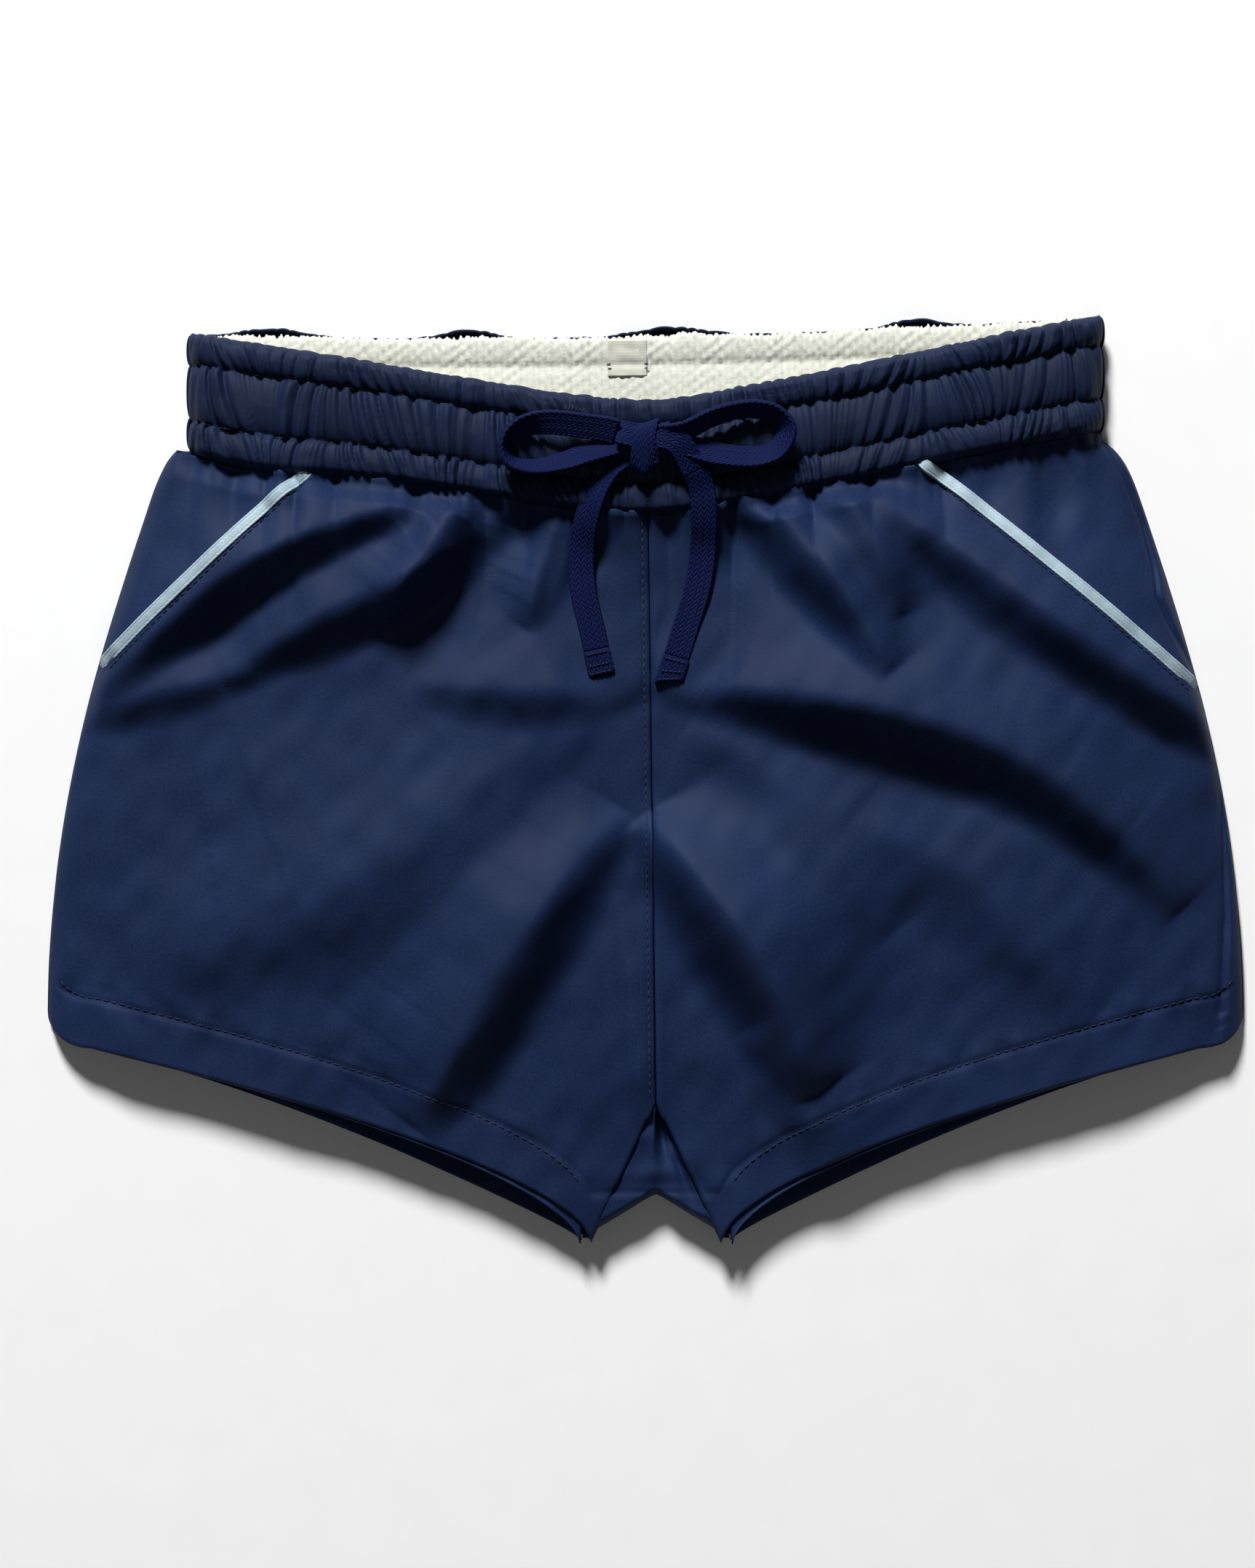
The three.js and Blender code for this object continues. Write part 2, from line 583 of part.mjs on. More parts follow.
  // Piping along the mouth, just outside the panel's edge.
  const clear = pipingRadius + gap;
  const slant = Math.hypot(mouthEndX - mouthTopX, mouthTopY - mouthEndY) / (mouthTopY - mouthEndY);
  const pipingStart = frontSeam(side * mouthSeamX) - 2 * clear;
  const pipingPoints = [0, 0.2, 0.4, 0.6, 0.8, 1].map((share) => {
    const y = lerp(pipingStart, mouthEndY + 3 * clear, share);
    const x = mouth(y, 0) + side * clear * slant;
    const level = frontZ(Math.min(Math.abs(x), halfWidth(y)), y);
    return [side * Math.min(Math.abs(x), halfWidth(y) - pipingRadius), y, level + cloth];
  });
  add(`pocket_piping_${word}`, tube(pipingPoints, 14, pipingRadius, pipingRadius, 8), paleBlue, 0.6);
}

// Centre seam allowances inside the front and the back, above and below the fold.
function centreSeams() {
  const half = centreSeamWidth / 2;
  const line = (offset) => (y) => innerX(0, y) + offset;
  const piece = (name, from, to, levels, rows) => {
    const [low, high] = [from, to].map((y) => rowAt(() => y, line(-half)(y), line(half)(y)));
    add(name, layer(2, rows, strip(line(-half), line(half), low, high), levels), navy);
  };
  const under = thick(beneathFront(thinCloth), thinCloth);
  const over = flat(cloth + gap, thinCloth);
  const legEnd = crotchY + gap;
  piece('centre_front_seam', foldY + seamGap, frontSeam(0) - 2 * gap, under, 8);
  piece('centre_front_seam_leg', legEnd, foldY - seamGap, under, 6);
  piece('centre_back_seam', foldY + seamGap, backSeam(0) - 2 * gap, over, 4);
  piece('centre_back_seam_leg', legEnd, foldY - seamGap, over, 4);
}

// The gusset closes the crotch between the two inseams.
function gusset() {
  const [top, end] = [crotchY - inseamStart, bottom + gussetEnd];
  const edges = [-1, 1].map((side) => (y) => innerX(side, y) - side * gap);
  const rows = [end, top].map((y) => rowAt(() => y, edges[0](y), edges[1](y)));
  add('crotch_gusset', layer(4, 4, strip(edges[0], edges[1], rows[0], rows[1]),
    flat(gussetHeight, 2 * cloth)), navy);
}

waistband();
blankLabel();
channelCord();
buttonhole('buttonhole_left', -1);
buttonhole('buttonhole_right', 1);
bow();
sideParts(-1, 'left');
sideParts(1, 'right');
centreSeams();
gusset();

export default shorts;
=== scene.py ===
"""Short drawcord sports shorts lying flat on their back, seen from straight above.

Metres, in the CAD frame: +X to the right as seen from above, +Y towards the waistband, +Z up.
"""

import bpy
import numpy as np
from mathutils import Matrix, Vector


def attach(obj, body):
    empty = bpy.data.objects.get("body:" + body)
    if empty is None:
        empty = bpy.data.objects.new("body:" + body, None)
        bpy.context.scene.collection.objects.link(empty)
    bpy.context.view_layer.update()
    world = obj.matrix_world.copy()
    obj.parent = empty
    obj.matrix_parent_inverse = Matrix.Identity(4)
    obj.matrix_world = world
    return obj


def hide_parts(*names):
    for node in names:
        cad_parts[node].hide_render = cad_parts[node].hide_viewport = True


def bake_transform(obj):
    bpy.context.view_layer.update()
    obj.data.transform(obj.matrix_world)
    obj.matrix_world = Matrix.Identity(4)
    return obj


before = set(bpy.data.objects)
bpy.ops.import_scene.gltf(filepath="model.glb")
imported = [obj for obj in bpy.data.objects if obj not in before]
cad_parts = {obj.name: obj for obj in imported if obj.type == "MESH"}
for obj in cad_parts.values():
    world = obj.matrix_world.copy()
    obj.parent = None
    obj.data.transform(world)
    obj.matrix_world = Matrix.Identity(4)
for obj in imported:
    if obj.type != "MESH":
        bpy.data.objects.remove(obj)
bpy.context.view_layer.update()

# ---- Outline, as in the CAD ----
MM = 0.001
LENGTH = 0.358
WAIST_HALF = 0.1765
HEM_HALF = 0.231
WAIST_TILT = 0.0035
FRONT_DIP = 0.030
DIP_ROUNDING = 0.12
BACK_DIP = 0.004
BAND_DEPTH = 0.045
OUTER_HEM_RISE = 0.075
HEM_CORNER_RISE = 0.088
HEM_CORNER_INSET = 0.017
CROTCH_RISE = 0.053
CROTCH_X = 0.004
INNER_HEM_REACH = 0.025
HEM_SLOPE_END = 0.94
HEM_HANG = 0.0035
BACK_HEM_DROP = 9
HEM_DEPTH = 0.021
FOLD_ABOVE_CROTCH = 0.086

# ---- Heights, as in the CAD ----
CLOTH = 0.0012
CASING = 0.0024
GAP = 0.0003
SIDE_HEIGHT = 0.0055
BODY_LOFT = 0.0095
BODY_SHOULDER = 0.022
CROTCH_FLATTENING = 0.5
CROTCH_REACH = 0.045
BAND_FLOOR = 0.0075
BAND_LOFT = 0.008
BAND_SHOULDER = 0.025
CASING_ABOVE_BAND = 0.0051
BACK_STACK = 0.0071
TIERS = (0.0, 0.28, 0.74, 1.0)
CHANNEL_DROP = 0.49

# ---- The look's own sizes ----
WALL = 0.0006  # thickness of the cloth that shows
SIDE_ROUND = 0.007  # width over which the cloth turns down at a side
SIDE_MEET = 0.0033  # height at which front and back meet there
INNER_ROUND = 0.0016  # how far the cloth turns down along a leg's inner edge
BAND_MEET = 0.0076  # height at which the band's front and back meet at its sides
SEAM_SAG = 0.0045  # how far the body's weight pulls the waist seam down at the left pocket
SEAM_SAG_X = -0.150
SEAM_SAG_HALF = 0.034
FULLNESS = 0.0085  # how far the cloth swells past the band's sides just under it
FULLNESS_START = 0.007
FULLNESS_FADE = 0.035
TIER_RELIEF = 0.0034  # crest of a tier above its stitch rows
RUCHE_PITCH = 0.0052  # spacing of the waistband's gathers
SEAM_RISE = 0.0042  # how far the body's cloth rises to meet the band
WIDE_GATHER = 0.019  # spacings of the gathers under the band
FINE_GATHER = 0.0075
SEAM_ROW = 0.0024  # from the centre seam to the stitches beside it
MOUTH_ROW = 0.0036  # from the pocket mouth to the stitches beside it
HEM_ROW = 0.0195  # from the hem to its stitches
PIPING_WIDTH = 0.0048
PIPING_THICKNESS = 0.0021
PIPING_ROLL = 8  # degrees
FACING_UNDER = 0.028
FACING_GRID = (120, 90)
BAG_GRID = (70, 50)
BAG_REACH = 0.016
BAG_ABOVE_FOLD = 0.008
STITCH_LENGTH = 0.0024
STITCH_PITCH = 0.0032
STITCH_RADIUS = 0.00022
TACK_RADIUS = 0.00024
RING_THREAD = 0.0004  # radius of a buttonhole's thread
ABOVE_CLOTH = 0.00012  # how far a stitch's middle lies above the cloth

# ---- Drawcord ----
CORD_WIDTH = 0.010
CORD_THICKNESS = 0.0018
KNOT_X = 0.002
KNOT_ABOVE_CHANNEL = 0.0047
KNOT_RADII = (0.0105, 0.0085, 0.0045)

# ---- Derived levels ----
BOTTOM = -LENGTH / 2
CORNER_Y = LENGTH / 2 - WAIST_TILT
CROTCH_Y = BOTTOM + CROTCH_RISE
FOLD_Y = CROTCH_Y + FOLD_ABOVE_CROTCH
LEFT, RIGHT = -1, 1
SIDE_WORD = {LEFT: "left", RIGHT: "right"}

# The pocket mouths: where each line starts beside the waist seam and ends at the side seam.
POCKET_TOP_X = {LEFT: 0.1255, RIGHT: 0.1055}
POCKET_TOP_Y = 0.1218
POCKET_END_Y = {LEFT: 0.0392, RIGHT: 0.0312}


# ---- Outline curves, for single numbers or arrays ----


def corner_line(x):
    return CORNER_Y + WAIST_TILT * x / WAIST_HALF


def front_top(x):
    r = DIP_ROUNDING
    share = (np.hypot(x / WAIST_HALF, r) - r) / (np.hypot(1, r) - r)
    return corner_line(x) - FRONT_DIP * (1 - share)


def back_top(x):
    return corner_line(x) - BACK_DIP * (1 - (x / WAIST_HALF) ** 2)


def front_seam(x):
    """The seam under the band, which the body's weight has pulled lower at the left pocket."""
    return front_top(x) - BAND_DEPTH - SEAM_SAG * bell(x, SEAM_SAG_X, SEAM_SAG_HALF)


def back_seam(x):
    return back_top(x) - BAND_DEPTH


def half_width(y):
    start = CORNER_Y - BAND_DEPTH
    end = BOTTOM + HEM_CORNER_RISE
    down = np.clip((start - y) / (start - end), 0, 1)
    below = np.maximum(start - y, 0)
    swell = (1 - np.exp(-below / FULLNESS_START)) * np.exp(-below / FULLNESS_FADE)
    return WAIST_HALF + (HEM_HALF - WAIST_HALF) * (1 - (1 - down) ** 2) + FULLNESS * swell


def inner_x(side, y):
    down = np.clip((CROTCH_Y - y) / CROTCH_RISE, 0, 1)
    seam = CROTCH_X * (CORNER_Y - y) / (CORNER_Y - CROTCH_Y)
    return np.minimum(seam, CROTCH_X) + side * INNER_HEM_REACH * down


def hem_y(t, turn, drop):
    """y of the hem at a share t of its slope and an angle round its outer corner."""
    hang = drop * HEM_HANG * (1 - t) ** 2 * np.sqrt(t)
    rise = (HEM_CORNER_RISE - OUTER_HEM_RISE) * (1 - np.cos(turn))
    return BOTTOM + OUTER_HEM_RISE * t**0.6 - hang + rise


def hem_line(side, along, drop=0):
    """x and y of the hem for shares from the inner corner (0) to the outer corner (1)."""
    slope_x = side * (HEM_HALF - HEM_CORNER_INSET)
    t = np.minimum(along / HEM_SLOPE_END, 1)
    turn = np.clip((along - HEM_SLOPE_END) / (1 - HEM_SLOPE_END), 0, 1) * np.pi / 2
    x = inner_x(side, BOTTOM) + (slope_x - inner_x(side, BOTTOM)) * t
    return x + side * HEM_CORNER_INSET * np.sin(turn), hem_y(t, turn, drop)


def mouth_x(side, y):
    """Distance of the pocket mouth from the middle line, at height y."""
    end_y = POCKET_END_Y[side]
    end_x = half_width(end_y)
    share = (y - end_y) / (POCKET_TOP_Y - end_y)
    return np.minimum(end_x + (POCKET_TOP_X[side] - end_x) * share, half_width(y))


def front_level(x, y):
    from_side = np.maximum(half_width(y) - np.abs(x), 0)
    rise = 1 - np.exp(-from_side / BODY_SHOULDER)
    from_crotch = np.hypot(x - CROTCH_X, y - BOTTOM) / CROTCH_REACH
    return SIDE_HEIGHT + BODY_LOFT * rise * (1 - CROTCH_FLATTENING * np.exp(-(from_crotch**2)))


def band_level(x):
    from_side = np.maximum(WAIST_HALF - np.abs(x), 0)
    return BAND_FLOOR + BAND_LOFT * (1 - np.exp(-from_side / BAND_SHOULDER))


def casing_level(x):
    return band_level(x) + CASING_ABOVE_BAND


# ---- Small helpers ----


def smooth(low, high, value):
    t = np.clip((value - low) / (high - low), 0, 1)
    return t * t * (3 - 2 * t)


def mix(a, b, t):
    return a + (b - a) * t


def bell(value, centre, half):
    return np.exp(-(((value - centre) / half) ** 2))


def waves(x, y, size, seed, count=9):
    """Smooth, even noise between about -1 and 1: plane waves in all directions, near one size."""
    random = np.random.default_rng(seed)
    angle, phase = random.uniform(0, 2 * np.pi, (2, count))
    pitch = size * random.uniform(0.7, 1.6, count)
    total = sum(
        np.sin(2 * np.pi * (x * np.cos(a) + y * np.sin(a)) / p + f)
        for a, p, f in zip(angle, pitch, phase)
    )
    return total / np.sqrt(count)


def ruche(x, pitch, seed):
    """Gathers: round crests and sharp valleys at an uneven spacing, from 0 to 1."""
    drift = waves(x, 0 * x, 5 * pitch, seed) * 1.6 + waves(x, 0 * x, 14 * pitch, seed + 1) * 2.5
    crest = np.abs(np.sin(np.pi * x / pitch + drift)) ** 0.8
    return crest * (0.65 + 0.35 * waves(x, 0 * x, 3 * pitch, seed + 2))


# ---- Folds of the front: each is a step across a line, high on the line's left-hand side ----

FOLD_STEPS = 9
FOLDS = (  # points in millimetres, height, half the step's width, reach of the high side
    (((-212, 26), (-172, 58), (-139, 80), (-84, 102)), 15, 10, 26),
    (((-160, 34), (-111, 58), (-75, 76), (-50, 104)), 12, 11, 22),
    (((-224, 18), (-181, 27), (-148, 38)), 5.5, 8, 14),
    (((-92, 34), (-47, 25), (4, 34)), 7, 10, 24),
    (((-200, -82), (-111, -62), (-64, -24), (-8, 22)), 9, 20, 42),
    (((-84, -138), (-54, -96), (-32, -60), (-4, -16)), 17, 14, 38),
    (((-14, -44), (-10, -92), (-4, -136)), 3.2, 6, 16),
    (((22, 120), (52, 84), (90, 38)), 19, 11, 24),
    (((58, 120), (78, 92), (94, 60)), 9, 8, 16),
    (((-100, 54), (-74, 86), (-62, 118)), 12, 9, 15),
    (((-44, 56), (-30, 84), (-26, 112)), 9, 8, 13),
    (((84, 106), (122, 72), (164, 42), (232, 4)), 17, 12, 28),
    (((0, 34), (50, 25), (105, 6), (150, -8), (202, -56)), 20, 14, 38),
    (((12, 14), (48, -16), (88, -64)), 6.5, 15, 32),
    (((76, -20), (120, -56), (166, -98)), 7, 16, 34),
    (((-6, -18), (24, -66), (60, -124)), 26, 15, 34),
    (((34, -100), (52, -128), (66, -156)), 5.5, 10, 22),
)
HOLLOWS = (  # centre in millimetres, radii, depth: the sag between two gathers
    ((-47, 92), (20, 15), 6.5),
    ((60, 102), (15, 15), 7.0),
    ((35, 96), (10, 14), 4.0),
    ((-95, 90), (13, 11), 3.6),
    ((-146, 102), (11, 10), 3.2),
    ((104, 112), (12, 9), 3.0),
    ((-18, 88), (9, 12), 2.6),
)
FLAT_UNDER_BOW = 0.0026  # most that a fold rises or sinks under the tails
RIGHT_SEAM = (  # where the right side seam has rolled to the front, in millimetres
    (177, 131), (185, 117), (192, 99), (196, 82), (197, 70), (203, 57),
    (211, 43), (215, 29), (218, 18), (221, 6), (223, -8), (224, -50), (222, -90),
)


def from_line(points, x, y):
    """Signed distance from a line through points (positive on its left) and the share along it."""
    points = np.array(points, float) * MM
    lengths = np.hypot(*np.diff(points, axis=0).T)
    ends = np.concatenate([[0], np.cumsum(lengths)])
    best = np.full(np.shape(x), np.inf)
    signed, share = np.zeros(np.shape(x)), np.zeros(np.shape(x))
    for (ax, ay), (bx, by), start, long in zip(points, points[1:], ends, lengths):
        dx, dy = (bx - ax) / long, (by - ay) / long
        along = np.clip((x - ax) * dx + (y - ay) * dy, 0, long)
        off = np.hypot(x - ax - along * dx, y - ay - along * dy)
        nearer = off < best
        best = np.where(nearer, off, best)
        side = np.sign(dx * (y - ay) - dy * (x - ax))
        signed = np.where(nearer, side * off, signed)
        share = np.where(nearer, (start + along) / ends[-1], share)
    return signed, share


def curved(points):
    """A fold's line with its corners rounded: the smooth curve that best fits its points."""
    p = np.array(points, float)
    t = np.linspace(0, 1, len(p))
    even = np.linspace(0, 1, FOLD_STEPS)
    fit = [np.polyfit(t, p[:, k], min(len(p) - 1, 3)) for k in (0, 1)]
    return np.stack([np.polyval(f, even) for f in fit], axis=1)


def step_fold(x, y, line, height, half, reach):
    """Height of one fold: it swells from nothing at both ends of its line."""
    off, share = from_line(line, x, y)
    swell = np.sin(np.pi * share)
    half = half * MM * (0.5 + 0.5 * swell)
    reach = reach * MM * (0.4 + 0.6 * swell)
    beyond = np.exp(-((np.maximum(off - half, 0) / reach) ** 1.5))
    return height * MM * swell**0.75 * smooth(-half, half, off) ** 1.3 * beyond


def under_bow(x, y):
    """1 where the tails lie on the front, which is nearly flat there, and 0 away from them."""
    return smooth(1.35, 0.95, np.hypot(x / 0.034, (y - 0.074) / 0.044))


def hem_height(side, x, drop=0):
    """y of the hem at x."""
    start = inner_x(side, BOTTOM)
    slope_x = side * (HEM_HALF - HEM_CORNER_INSET)
    t = np.clip((x - start) / (slope_x - start), 0, 1)
    turn = np.arcsin(np.clip((np.abs(x) - np.abs(slope_x)) / HEM_CORNER_INSET, 0, 1))
    return hem_y(t, turn, drop)


def rounded(level, meet, distance, width):
    """level, turned down to meet over the last width before an edge."""
    inside = np.clip(distance / width, 0, 1)
    return meet + (level - meet) * np.sqrt(1 - (1 - inside) ** 2)


def side_edges(side, x, y):
    """Distances from the outer edge and, below the crotch, from the leg's inner edge."""
    outer = half_width(y) - np.abs(x)
    inner = side * (x - inner_x(side, y)) + 0.03 * smooth(CROTCH_Y - 0.006, CROTCH_Y + 0.002, y)
    return outer, inner


FOLD_LINES = [(curved(points), *sizes) for points, *sizes in FOLDS]


def front_folds(x, y):
    total = sum(step_fold(x, y, *fold) for fold in FOLD_LINES)
    for (cx, cy), (rx, ry), depth in HOLLOWS:
        total = total - depth * MM * bell(x, cx * MM, rx * MM) * bell(y, cy * MM, ry * MM)
    total = total + 0.0006 * waves(x, y, 0.055, 3) + 0.00022 * waves(x, y, 0.016, 4)
    low = FLAT_UNDER_BOW * np.tanh(total / FLAT_UNDER_BOW)
    total = mix(total, low, under_bow(x, y))
    return total * smooth(-0.001, 0.010, front_seam(x) - y)


def band_puckers(x, below):
    """Gathers that run down from the waistband's seam; below is the distance under it."""
    wide = 0.0060 * (ruche(x, WIDE_GATHER, 5) - 0.5) * np.exp(-below / 0.020)
    fine = 0.0018 * (ruche(x, FINE_GATHER, 9) - 0.5) * np.exp(-below / 0.007)
    return wide + fine


def front_surface(side, x, y, round_sides=True):
    """Top of the front's cloth."""
    below = np.maximum(front_seam(x) - y, 0)
    level = front_level(x, y) + CLOTH + front_folds(x, y) + band_puckers(x, below)
    level = level + SEAM_RISE * np.exp(-below / 0.010)
    level = level - 0.0008 * bell(x - inner_x(0, y), 0, 0.0010) * (y > CROTCH_Y - 0.01)
    level = level - 0.0003 * bell(x - inner_x(0, y), -SEAM_ROW, 0.0009) * (y > CROTCH_Y)
    rolled = from_line(RIGHT_SEAM, x, y)[0]
    level = level - 0.0020 * bell(rolled, 0, 0.0013) + 0.0010 * smooth(-0.0006, 0.0006, rolled)
    above_hem = y - hem_height(side, x)
    ripple = 0.00035 * waves(x, y, 0.012, 21) * bell(above_hem, HEM_DEPTH, 0.006)
    level = level - 0.0005 * bell(above_hem, HEM_ROW, 0.0012) + ripple
    if round_sides:
        outer, inner = side_edges(side, x, y)
        level = rounded(level, SIDE_MEET, outer, SIDE_ROUND)
        level = rounded(level, np.maximum(level - INNER_ROUND, SIDE_MEET), inner, INNER_ROUND)
    return level


# ---- Meshes from grids ----


def quads(rows, columns):
    r, c = np.meshgrid(np.arange(rows - 1), np.arange(columns - 1), indexing="ij")
    a = (r * columns + c).ravel()
    return np.stack([a, a + 1, a + columns + 1, a + columns], axis=1)


def make_mesh(name, points, faces, flat=None):
    mesh = bpy.data.meshes.new(name)
    mesh.from_pydata(points.reshape(-1, 3).tolist(), [], faces)
    mesh.polygons.foreach_set("use_smooth", np.ones(len(mesh.polygons), bool))
    if flat is not None:
        layer = mesh.uv_layers.new(name="Flat")
        corners = np.zeros(len(mesh.loops), np.int32)
        mesh.loops.foreach_get("vertex_index", corners)
        layer.data.foreach_set("uv", flat.reshape(-1, 2)[corners].astype(np.float32).ravel())
    mesh.update()
    piece = bpy.data.objects.new(name, mesh)
    bpy.context.scene.collection.objects.link(piece)
    return piece


def rim(rows, columns):
    """The grid's outline as one ring of indices."""
    index = np.arange(rows * columns).reshape(rows, columns)
    return np.concatenate([index[0, :], index[1:, -1], index[-1, -2::-1], index[-2:0:-1, 0]])


def facing_up(grid):
    """The grid with its columns turned round where it would face down."""
    across = grid[0, -1, :2] - grid[0, 0, :2]
    up = grid[-1, 0, :2] - grid[0, 0, :2]
    return grid if across[0] * up[1] - across[1] * up[0] > 0 else grid[:, ::-1]


def shell(name, grid, wall, flat=None):
    """A closed layer of cloth: grid is its top, rows x columns x 3, and wall its thickness."""
    turned = facing_up(grid)
    if flat is not None and turned is not grid:
        flat = flat[:, ::-1]
    grid = turned
    rows, columns = grid.shape[:2]
    normal = np.cross(np.gradient(grid, axis=1), np.gradient(grid, axis=0))
    normal /= np.maximum(np.linalg.norm(normal, axis=2, keepdims=True), 1e-12)
    under = grid - normal * wall
    count = rows * columns
    top = quads(rows, columns)
    ring = rim(rows, columns)
    after = np.roll(ring, -1)
    walls = np.stack([ring, ring + count, after + count, after], axis=1)
    faces = np.concatenate([top, top[:, ::-1] + count, walls])
    if flat is None:
        flat = grid[:, :, :2]
    both = np.concatenate([flat.reshape(-1, 2), flat.reshape(-1, 2)])
    points = np.concatenate([grid.reshape(-1, 3), under.reshape(-1, 3)])
    return make_mesh(name, points, faces.tolist(), both)


def spaced(count, ends=0.5):
    """Shares from 0 to 1, closer together near both ends."""
    t = np.linspace(0, 1, count)
    return mix(t, 0.5 - 0.5 * np.cos(np.pi * t), ends)


def strip(low, high, inner, outer, rows, columns):
    """The patch between two end rows and two side edges, as in the CAD."""
    u, v = np.meshgrid(spaced(columns), spaced(rows), indexing="xy")
    low_x, low_y = low(u)
    high_x, high_y = high(u)
    y = mix(low_y, high_y, v)
    corner_low, corner_high = low(np.array([0.0, 1.0])), high(np.array([0.0, 1.0]))
    inner_y = mix(corner_low[1][0], corner_high[1][0], v)
    outer_y = mix(corner_low[1][1], corner_high[1][1], v)
    along_rows = mix(low_x, high_x, v)
    along_columns = mix(inner(inner_y), outer(outer_y), u)
    low_line = mix(corner_low[0][0], corner_low[0][1], u)
    high_line = mix(corner_high[0][0], corner_high[0][1], u)
    return along_rows + along_columns - mix(low_line, high_line, v), y


def level_row(y, inner, outer):
    """The row at height y from one side edge to the other."""
    def row(u):
        x = mix(inner(y), outer(y), u)
        return x, y + 0 * x

    return row


def straight_strip(low_y, high_y, inner, outer, rows, columns):
    """The patch between two heights and two side edges."""
    low, high = (level_row(y, inner, outer) for y in (low_y, high_y))
    return strip(low, high, inner, outer, rows, columns)


# ---- Materials ----


def linear(*srgb):
    """A colour given in 0 to 255 display values."""
    c = np.array(srgb) / 255
    c = np.where(c <= 0.04045, c / 12.92, ((c + 0.055) / 1.055) ** 2.4)
    return (*c.tolist(), 1.0)


class Surface:
    """A node material on the piece's own flat map, which is in metres."""

    def __init__(self, name, roughness=0.85, sheen=0.0, specular=0.2):
        self.material = bpy.data.materials.new(name)
        self.material.use_nodes = True
        self.tree = self.material.node_tree
        self.shader = self.tree.nodes["Principled BSDF"]
        self.shader.inputs["Roughness"].default_value = roughness
        self.shader.inputs["Sheen Weight"].default_value = sheen
        self.shader.inputs["Sheen Roughness"].default_value = 0.45
        self.shader.inputs["Specular IOR Level"].default_value = specular
        self.flat = self.node("ShaderNodeUVMap", uv_map="Flat").outputs["UV"]
        self.place = self.node("ShaderNodeTexCoord").outputs["Object"]

    def node(self, kind, inputs=None, **settings):
        node = self.tree.nodes.new(kind)
        for key, value in settings.items():
            setattr(node, key, value)
        for key, value in (inputs or {}).items():
            if isinstance(value, bpy.types.NodeSocket):
                self.tree.links.new(value, node.inputs[key])
            else:
                node.inputs[key].default_value = value
        return node

    def noise(self, size, detail=2.0, where=None, stretch=(1, 1, 1)):
        spot = self.node("ShaderNodeMapping", {"Vector": where or self.flat, "Scale": stretch})
        wanted = {"Vector": spot.outputs[0], "Scale": 1 / size, "Detail": detail}
        return self.node("ShaderNodeTexNoise", wanted).outputs["Fac"]

    def lines(self, pitch, turn=0.0, where=None):
        """Even parallel lines, turn radians round from the first axis, from 0 to 1."""
        spot = self.node("ShaderNodeMapping", {"Vector": where or self.flat, "Rotation": (0, 0, turn)})
        wanted = {"Vector": spot.outputs[0], "Scale": np.pi / 10 / pitch}
        return self.node("ShaderNodeTexWave", wanted).outputs["Fac"]

    def math(self, operation, a, b=0.0, c=0.0):
        return self.node("ShaderNodeMath", {0: a, 1: b, 2: c}, operation=operation).outputs[0]

    def sum_of(self, a, share_a, b, share_b=1.0):
        """share_a of a plus share_b of b."""
        return self.math("MULTIPLY_ADD", a, share_a, self.math("MULTIPLY", b, share_b))

    def blend(self, share, low, high):
        ramp = {"Factor": share, 6: low, 7: high}
        return self.node("ShaderNodeMix", ramp, data_type="RGBA").outputs[2]

    def colour(self, value):
        self.tree.links.new(value, self.shader.inputs["Base Color"])

    def roughness(self, share, low, high):
        spread = self.node("ShaderNodeMapRange", {"Value": share, "To Min": low, "To Max": high})
        self.tree.links.new(spread.outputs[0], self.shader.inputs["Roughness"])

    def bump(self, height, depth, strength=1.0):
        wanted = {"Height": height, "Distance": depth, "Strength": strength}
        for link in self.shader.inputs["Normal"].links:
            wanted["Normal"] = link.from_socket
        bump = self.node("ShaderNodeBump", wanted)
        self.tree.links.new(bump.outputs[0], self.shader.inputs["Normal"])


def woven(name, dark, light, pitch=0.00055, grain=0.0011, tone=0.035):
    """Fine matte cloth: a close twill, a speckled grain and slow changes of tone."""
    s = Surface(name, specular=0.14)
    speckle = s.noise(grain, 3.0)
    slow = s.noise(tone, 2.0)
    twill = s.lines(pitch, np.pi / 4)
    weft = s.lines(pitch, -np.pi / 4)
    weave = s.math("MULTIPLY", twill, weft)
    share = s.math("ADD", s.sum_of(slow, 0.5, speckle), -0.25)
    s.colour(s.blend(share, dark, light))
    s.roughness(speckle, 0.55, 0.75)
    s.bump(weave, 0.00005, 0.6)
    s.bump(speckle, 0.00012, 0.5)
    return s.material


def braided(name, dark, light, column=0.00125, plait=0.0021):
    """A flat braid: columns of chevrons along the cord. The map runs along, then across."""
    s = Surface(name, specular=0.12)
    parts = s.node("ShaderNodeSeparateXYZ", {0: s.flat}).outputs
    across = s.math("PINGPONG", s.math("DIVIDE", parts[1], column), 1.0)
    along = s.math("DIVIDE", parts[0], plait)
    phase = s.math("MULTIPLY", s.math("ADD", along, across), 2 * np.pi)
    plaits = s.math("MULTIPLY_ADD", s.math("SINE", phase), 0.5, 0.5)
    ribs = s.math("MULTIPLY_ADD", s.math("SINE", s.math("MULTIPLY", across, np.pi)), 0.8, 0.2)
    strands = s.math("MULTIPLY", plaits, ribs)
    fuzz = s.noise(0.0005, 2.0)
    s.colour(s.blend(s.sum_of(strands, 0.8, fuzz, 0.35), dark, light))
    s.roughness(fuzz, 0.6, 0.9)
    s.bump(strands, 0.00035, 0.9)
    s.bump(fuzz, 0.00006, 0.4)
    return s.material


